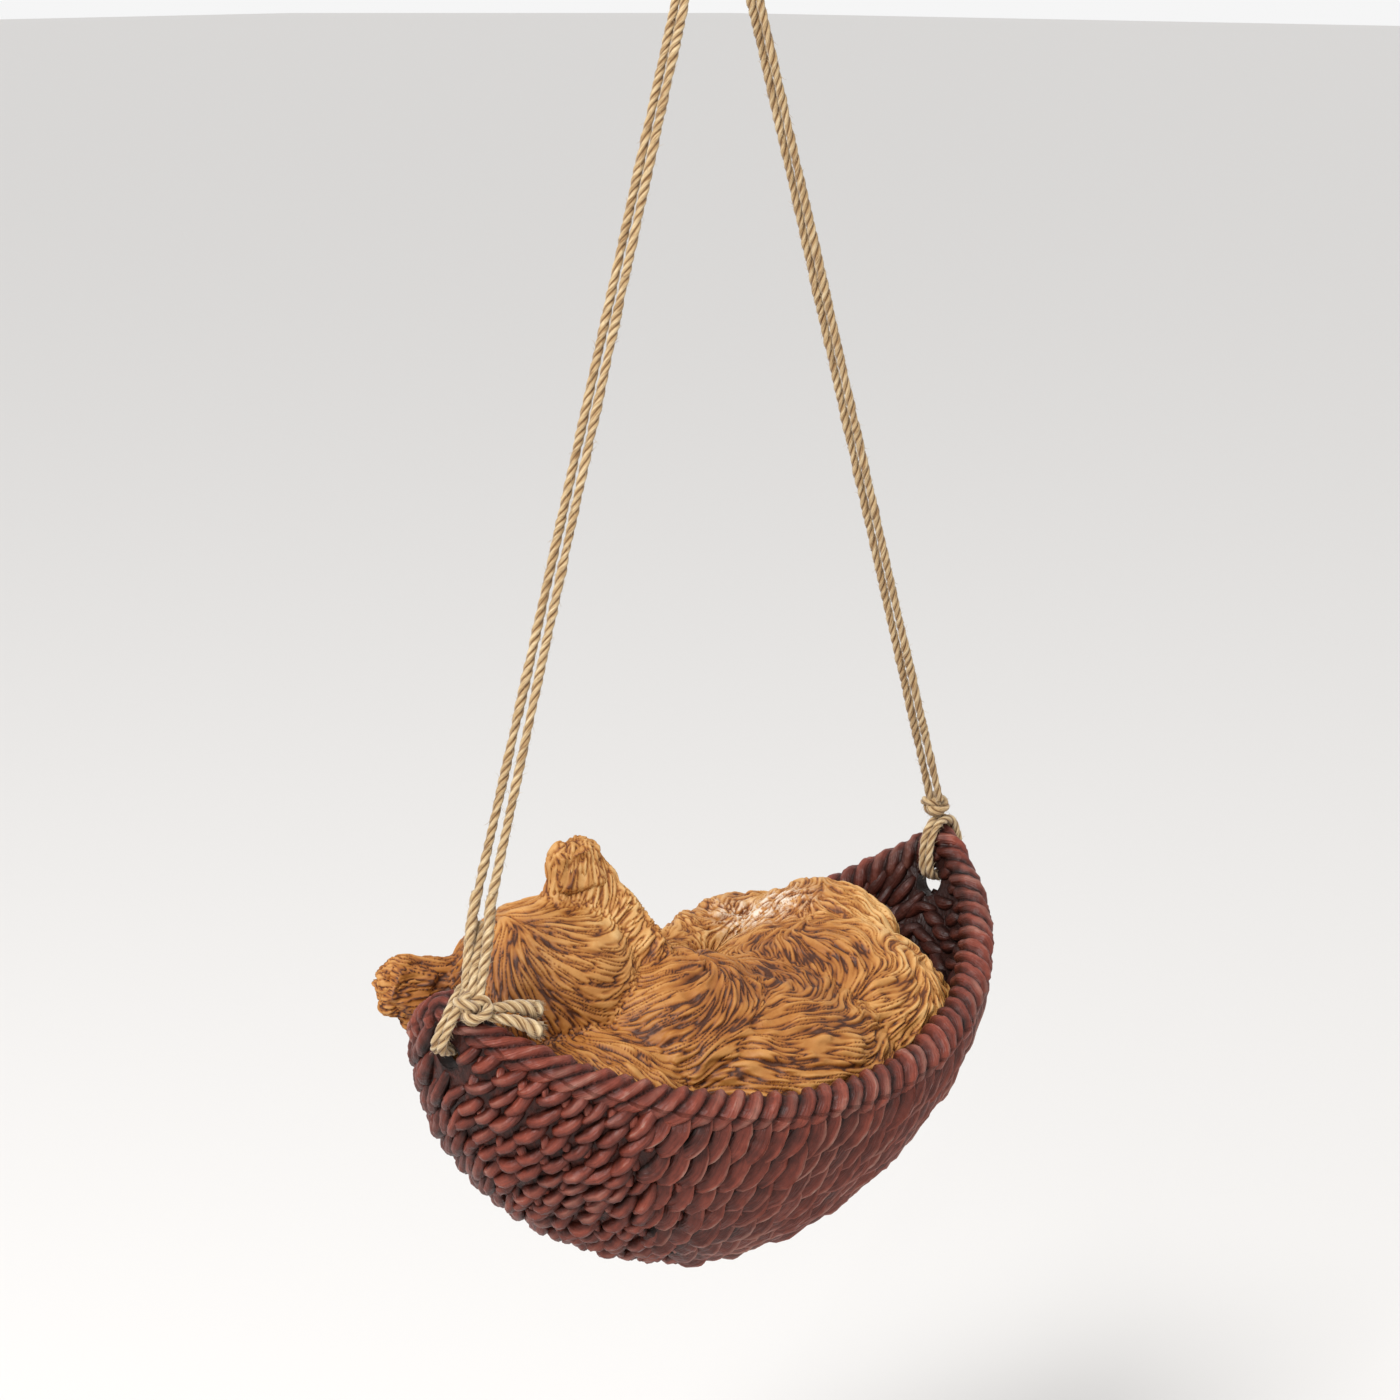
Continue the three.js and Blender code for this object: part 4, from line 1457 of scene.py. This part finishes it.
        spine = [
            ((-29, -21, -13), 0.97, 0.2), ((-16, -26, -12), 0.95, 0.3), ((-6, -29, -10), 0.85, 0.5),
            ((11, -26, -9), 0.75, 0.65), ((23, -25, -8), 0.75, 0.65), ((38, -23, -7), 0.8, 0.6),
        ]
        back = [
            ((-28, -11, -2), 0.8, 0.55), ((-27, -17, -5), 0.6, 0.75), ((-15, -18, -3), 0.2, 1),
            ((3, -15, -4), -0.1, 1), ((17, -14, -5), -0.35, 0.94), ((29, -18, -3), -0.5, 0.85),
            ((55, -3, -2), -0.7, 0.7), ((41, 10, 3), 0.4, 0.9), ((26, 25, -2), 0.9, 0.3),
            ((-13, -7, 2), 0.2, 1), ((22, 12, -6), 0.6, 0.8), ((42, -1, 1), -0.6, 0.8),
        ]
        flank = [
            ((-23, -25, -15), 1, -0.2), ((-3, -33, -13), 0.95, 0.3), ((25, -30, -13), 0.85, 0.5),
            ((35, -27, -9), 0.6, 0.8), ((3, -36, -17), 0.97, 0.2), ((40, -29, -13), 0.5, 0.85),
            ((-20, -32, -20), 0.9, -0.3),
        ]
        strokes = parting + hanging + nape + ears + spine + back + flank
        return [seen_from_behind(*stroke) for stroke in strokes] + self.far_combs()

    def far_combs(self) -> list[Comb]:
        """The face, the far flank, the limbs and the tail."""
        axes = self.head.axes()
        face = [
            ((0, 22, -3), (0, -0.5, 0.9)), ((0, 19, 6), (0, -0.6, 0.8)), ((0, 8, 18), (0, -1, 0.1)),
            ((7, 22, -9), (1, -0.4, -0.3)), ((-7, 22, -9), (-1, -0.4, -0.3)),
            ((15, 14, -4), (0.8, -0.6, -0.1)), ((-15, 14, -4), (-0.8, -0.6, -0.1)),
            ((0, 18, -14), (0, -0.6, -0.8)),
            ((20, 2, -8), (0.2, -1, -0.4)), ((-20, 2, -8), (-0.2, -1, -0.4)),
            ((10, 12, 12), (0.3, -0.6, 0.8)), ((-10, 12, 12), (-0.3, -0.6, 0.8)),
        ]
        strokes = [Comb(tuple(self.head.place(*at)), tuple(np.array(run) @ axes)) for at, run in face]
        strokes += [
            Comb((-10, 34, -22), (-0.9, 0.1, 0.1)), Comb((5, 30, -26), (-0.9, 0.1, -0.2)),
            Comb((-20, 38, -15), (-0.9, 0.2, -0.2)), Comb((62, -18, -20), (0.3, 0.9, -0.2)),
            Comb((66, 8, -12), (-0.2, 0.9, -0.3)), Comb((60, 24, -12), (-0.8, 0.4, 0.1)),
            Comb((42, 30, -4), (-1, 0.05, 0)), Comb((24, 31, -5), (-1, 0, -0.05)),
            Comb((6, 29, -10), (-1, 0, -0.2)),
            Comb((50, 18, 0), (0.2, 0.6, -0.6)), Comb((10, 12, -4), (-0.6, 0.6, -0.1)),
        ]
        return strokes

    def flow(self, points: np.ndarray) -> np.ndarray:
        """Fur directions at points, blended from the nearby comb strokes."""
        combs = self.combs()
        places = np.array([comb.at for comb in combs])
        runs = unit(np.array([comb.run for comb in combs]))
        reach = 6.5
        total = np.zeros((len(points), 3))
        for place, run in zip(places, runs):
            distance = ((points - place) ** 2).sum(axis=1)
            weight = np.exp(-distance / (2 * reach**2)) + 1e-5 / (1 + distance / 400)
            total += weight[:, None] * run
        return unit(total)

    def carve(self, piece: bpy.types.Object) -> None:
        """Raises the fur, the face and the ears on the mass, and stores the paint's attributes."""
        points = points_of(piece)
        normals = np.empty(len(points) * 3)
        piece.data.vertices.foreach_get("normal", normals)
        normals = normals.reshape(-1, 3)
        points = self.hull.pulled_inside(self.cup_ears(points, normals), 3.2)
        streaks = FurStreaks(self.flow, points.min(axis=0) - 8, points.max(axis=0) + 8)
        fine = streaks.trace(points, normals, cell=0.64, reach=6.5, steps=18, ramp=0.0, seed=51)
        tufts = streaks.trace(points, normals, cell=2.1, reach=6.5, steps=9, ramp=0.9, seed=52)
        ridge = np.minimum(np.abs(fine) / 1.2, 1.0) ** 0.7
        groove = np.exp(-((fine / 0.25) ** 2))
        local = self.head.local(points)
        on_head = 1 - smoothstep(24, 34, np.linalg.norm(local, axis=1))
        on_muzzle = smoothstep(12, 19, local[:, 1]) * on_head
        depth_fine = 0.60 - 0.20 * on_muzzle
        depth_tufts = (0.62 - 0.40 * on_head) * (1 - 0.6 * on_muzzle)
        rise = depth_fine * (ridge - 0.6) + depth_tufts * np.tanh(tufts)
        face_rise, ink, blush = self.face(local)
        keep = np.exp(-((np.maximum(ink, blush)) * 2.0))
        points = points + normals * (rise * keep + face_rise)[:, None]
        move_points(piece, points)
        relief = np.clip(0.56 * ridge + 0.25 + 0.09 * np.tanh(tufts) - 0.42 * groove, 0, 1)
        # tone: the paint's own patches together with painted light and shade, paler on the nape, right ear
        # and rump.
        tone = self.patches(points, self.tone_and_light_patches())
        frost = np.clip(self.patches(points, self.frost_patches()), 0, 1) * smoothstep(0.35, 0.8, relief)
        labels = ("relief", "tone", "frost", "ink", "blush")
        for label, numbers in zip(labels, (relief, tone, frost, ink, blush)):
            write_attribute(piece.data, label, numbers)

    def cup_ears(self, points: np.ndarray, normals: np.ndarray) -> np.ndarray:
        """Hollows the front of both ears, so that each is a cupped shell."""
        front = self.head.axes()[1]
        for root, tip in (
            (self.head.place(*self.right_ear_root), np.array(self.right_ear_tip)),
            (self.head.place(*self.left_ear_root), np.array(self.left_ear_tip)),
        ):
            upward = unit(tip - root)
            face = unit(front - upward * (front @ upward))
            across = np.cross(face, upward)
            away = points - root
            up = away @ upward / np.linalg.norm(tip - root)
            side = away @ across
            half = self.ear_root_half + (self.ear_tip_half - self.ear_root_half) * np.clip(up, 0, 1)
            open_part = smoothstep(0.52, 0.70, up) * (1 - smoothstep(0.93, 1.04, up))
            middle = 1 - smoothstep(0.35, 0.85, np.abs(side) / half)
            facing = smoothstep(0.1, 0.6, normals @ face) * (away @ face > 0)
            points = points - face * (6.5 * open_part * middle * facing)[:, None]
        return points

    def face(self, local: np.ndarray) -> tuple[np.ndarray, np.ndarray, np.ndarray]:
        """Closed eyes, nose and mouth.

        Args:
            local: points along the head's own right, front and top.
        Returns:
            Height to add, dark line paint, and pink paint.
        """
        side, front, top = local.T
        ahead = smoothstep(8, 13, front)
        mirrored = np.abs(side)
        eye = 9.5  # how far an eye's middle is from the nose line
        lid = 3.6 + 0.055 * (mirrored - eye) ** 2
        on_lid = (1 - smoothstep(4.2, 5.2, np.abs(mirrored - eye))) * ahead
        line = np.exp(-(((top - lid + 3.0) / 0.55) ** 2)) * on_lid
        ball = np.exp(-(((mirrored - eye) / 4.4) ** 2) - (((top - 2.2) / 3.2) ** 2)) * ahead
        nose = np.exp(-((side / 2.9) ** 4) - (((top + 3.7) / 1.9) ** 4)) * smoothstep(19, 21, front)
        cleft = np.exp(-((side / 0.5) ** 2)) * smoothstep(-9.5, -8.5, top)
        cleft = cleft * (1 - smoothstep(-6, -5, top)) * smoothstep(16, 19, front)
        lip_height = -9.3 + 0.10 * (mirrored - 3.2) ** 2
        lip = np.exp(-(((top - lip_height) / 0.5) ** 2)) * (1 - smoothstep(6.2, 7.5, mirrored))
        lip = lip * smoothstep(14, 17, front)
        ink = np.clip(np.maximum(line, np.maximum(cleft, lip) * 0.8), 0, 1)
        rise = 0.9 * ball - 0.8 * line - 0.6 * np.maximum(cleft, lip) + 0.3 * nose
        return rise, ink, nose

    def tone_and_light_patches(self) -> list[Patch]:
        """Where the fur is painted paler, above 0, or deeper, below 0: partly the paint's own patches, partly
        painted light and shade, such as the paler nape, right ear and rump.
        """
        return [
            Patch((-56, 14, 2), 11, -1.8), Patch((-62, 29, 2), 9, -1.1), Patch((-50, 0, -8), 9, -1.2),
            Patch((-24, 3, 6), 9, 1.1), Patch((-27, 8, 20), 6, 0.8), Patch((-28, -13, -3), 9, -1.1),
            Patch((-13, -8, 0), 10, -1.7), Patch((6, -12, -3), 11, -1.0), Patch((22, -14, -4), 10, -1.1),
            Patch((36, -30, -10), 9, 0.7), Patch((0, -34, -14), 12, -0.7), Patch((56, -6, -6), 11, 1.8),
            Patch((30, 24, -2), 9, 0.3), Patch((-22, -25, -13), 9, -0.7), Patch((14, 4, -3), 8, -0.8),
        ]

    def frost_patches(self) -> list[Patch]:
        """Where white dry brushing lies: along the fold of the back."""
        return [Patch((31, 21, -3), 4, 0.9), Patch((34, 15, 0), 4, 1.0), Patch((38, 9, 2), 3.5, 0.8)]

    def patches(self, points: np.ndarray, patches: list[Patch]) -> np.ndarray:
        """The sum of soft round patches at points."""
        total = np.zeros(len(points))
        for patch in patches:
            distance = ((points - np.array(patch.at)) ** 2).sum(axis=1)
            total += patch.amount * np.exp(-distance / (2 * patch.reach**2))
        return total

    def build(self, finish: bpy.types.Material) -> list[bpy.types.Object]:
        """Makes, carves, splits and dresses the cat."""
        whole = self.mass()
        self.carve(whole)
        pieces, way = [], unit(vec(1, -0.25, 0))
        names = ("cat_face", "cat_crown", "cat_nape", "cat_ribs", "cat_loin", "cat_rump")
        far = 200.0  # past either end of the cat, where nothing is cut
        ends = (-far, *self.splits, far)
        for name, start, end in zip(names, ends, ends[1:]):
            piece = whole.copy()
            piece.data = whole.data.copy()
            piece.name = name
            bpy.context.scene.collection.objects.link(piece)
            if start > -far:
                self.cut(piece, way * start, way)
            if end < far:
                self.cut(piece, way * end, -way)
            pieces.append(piece)
        bpy.data.objects.remove(whole, do_unlink=True)
        for piece in pieces:
            piece.data.materials.clear()
            piece.data.materials.append(finish)
            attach(piece, Body.BASKET.value)
            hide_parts("cat")
        return pieces


class FurStreaks:
    """Noise smeared along the fur's lines, which gives long strokes side by side."""

    GRID = 3.0

    def __init__(self, flow: object, low: np.ndarray, high: np.ndarray) -> None:
        """Samples the flow on a coarse lattice between two corners."""
        self.low = low
        self.size = np.ceil((high - low) / self.GRID).astype(int) + 2
        axes = [low[k] + self.GRID * np.arange(self.size[k]) for k in range(3)]
        lattice = np.stack(np.meshgrid(*axes, indexing="ij"), axis=-1).reshape(-1, 3)
        bend = [LatticeNoise(60 + k)(lattice, 7.0) for k in range(3)]
        self.field = unit(flow(lattice) + 0.42 * np.stack(bend, axis=1)).reshape(*self.size, 3)

    def direction(self, points: np.ndarray) -> np.ndarray:
        """The flow at points, between the lattice's values."""
        scaled = (points - self.low) / self.GRID
        first = np.clip(np.floor(scaled).astype(int), 0, self.size - 2)
        share = np.clip(scaled - first, 0, 1)
        total = np.zeros_like(points)
        for corner in range(8):
            pick = np.array([(corner >> axis) & 1 for axis in range(3)])
            weight = np.prod(np.where(pick, share, 1 - share), axis=1)
            at = first + pick
            total += weight[:, None] * self.field[at[:, 0], at[:, 1], at[:, 2]]
        return total

    def trace(
        self, points: np.ndarray, normals: np.ndarray, cell: float, reach: float, steps: int, ramp: float,
        seed: int,
    ) -> np.ndarray:
        """Smears noise along the flow.

        Args:
            points: where the value is wanted.
            normals: the surface's normals there.
            cell: width of the strokes, in millimetres.
            reach: how far the noise is smeared each way.
            steps: samples each way.
            ramp: how much more weight lies behind than ahead, which gives strokes a raised tip.
            seed: of the noise.
        Returns:
            Values with a mean of 0 and a spread of 1.
        """
        noise = LatticeNoise(seed)
        total = noise(points, cell)
        for way in (-1.0, 1.0):
            place = points.copy()
            for step in range(1, steps + 1):
                run = self.direction(place)
                run -= normals * (run * normals).sum(axis=1, keepdims=True)
                place += unit(run) * (way * reach / steps)
                fade = 0.5 + 0.5 * math.cos(math.pi * step / (steps + 1))
                total += fade * (1 - way * ramp) * noise(place, cell)
        return (total - total.mean()) / total.std()


# ---- stage --------------------------------------------------------------------------------------
@dataclass(frozen=True)
class Studio:
    """The floor, the one lamp, the white surroundings and the camera."""

    azimuth: float = 48.72
    elevation: float = 13.5
    distance: float = 700.0
    shift_left: float = 3.54
    shift_up: float = 55.46
    lens: float = 81.33
    floor_drop: float = 160.0

    def camera(self) -> None:
        """Puts the camera behind the cat's head, looking along the basket's diagonal."""
        turn, lift = math.radians(self.azimuth), math.radians(self.elevation)
        back = vec(-math.sin(turn) * math.cos(lift), -math.cos(turn) * math.cos(lift), math.sin(lift))
        right = vec(math.cos(turn), -math.sin(turn), 0)
        up = np.cross(back, right)
        place = back * self.distance - right * self.shift_left + up * self.shift_up
        data = bpy.data.cameras.new("camera")
        data.lens = self.lens
        data.sensor_width = 36.0
        data.clip_start, data.clip_end = 0.05, 20.0
        camera = bpy.data.objects.new("camera", data)
        pose = Matrix([[*row] for row in np.stack([right, up, back], axis=1)]).to_4x4()
        pose.translation = Vector(to_frame(place))
        camera.matrix_world = pose
        bpy.context.scene.collection.objects.link(camera)
        bpy.context.scene.camera = camera

    def floor(self) -> None:
        """A wide pale floor under the hanging basket."""
        low = CAD_BOX[0][2] - self.floor_drop * MM
        bpy.ops.object.select_all(action="DESELECT")
        bpy.ops.mesh.primitive_plane_add(size=30.0, location=(0, 0, low))
        plane = bpy.context.object
        plane.name = "floor"
        shader = Shader("matt_white_studio_floor")
        plane.data.materials.append(shader.finish(Base_Color=srgb("DEDCDA"), Roughness=0.9))

    def light(self, name: str, place: tuple[float, float, float], size: float, power: float) -> None:
        """One soft square light that faces the basket."""
        data = bpy.data.lights.new(name, "AREA")
        data.size, data.energy = size, power
        lamp = bpy.data.objects.new(name, data)
        target = Vector(to_frame(vec(0, 0, -20)))
        lamp.location = target + Vector(place)
        lamp.rotation_euler = (target - lamp.location).to_track_quat("-Z", "Y").to_euler()
        bpy.context.scene.collection.objects.link(lamp)

    def build(self) -> None:
        """Sets the camera, floor, surroundings and lamp."""
        self.camera()
        self.floor()
        world = bpy.data.worlds.new("studio")
        world.use_nodes = True
        world.node_tree.nodes["Background"].inputs["Color"].default_value = srgb("FFFFFF")
        world.node_tree.nodes["Background"].inputs["Strength"].default_value = 0.92
        bpy.context.scene.world = world
        bpy.context.scene.view_settings.view_transform = "Standard"
        self.light("key_softbox", (-1.15, -0.35, 1.15), 0.5, 26)


def main() -> None:
    """Builds every sub-assembly in order and reports its pieces."""
    logging.basicConfig(level=logging.INFO, format="%(name)s: %(message)s", force=True)
    Studio().build()
    kinds = (JuteFinish, FurFinish, WickerFinish, EpoxyFinish)
    jute, fur, wicker, epoxy = (kind().material() for kind in kinds)
    made = TwineBail().build(jute)
    made += BasketTies().build(jute)
    made += WickerBasket().build(wicker)
    made += CastCat().build(fur)
    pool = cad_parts["epoxy_bed"]
    pool.data.materials.clear()
    pool.data.materials.append(epoxy)
    for piece in made + [pool]:
        LOG.info("%s: %d faces", piece.name, len(piece.data.polygons))


if __name__ == "__main__":
    main()
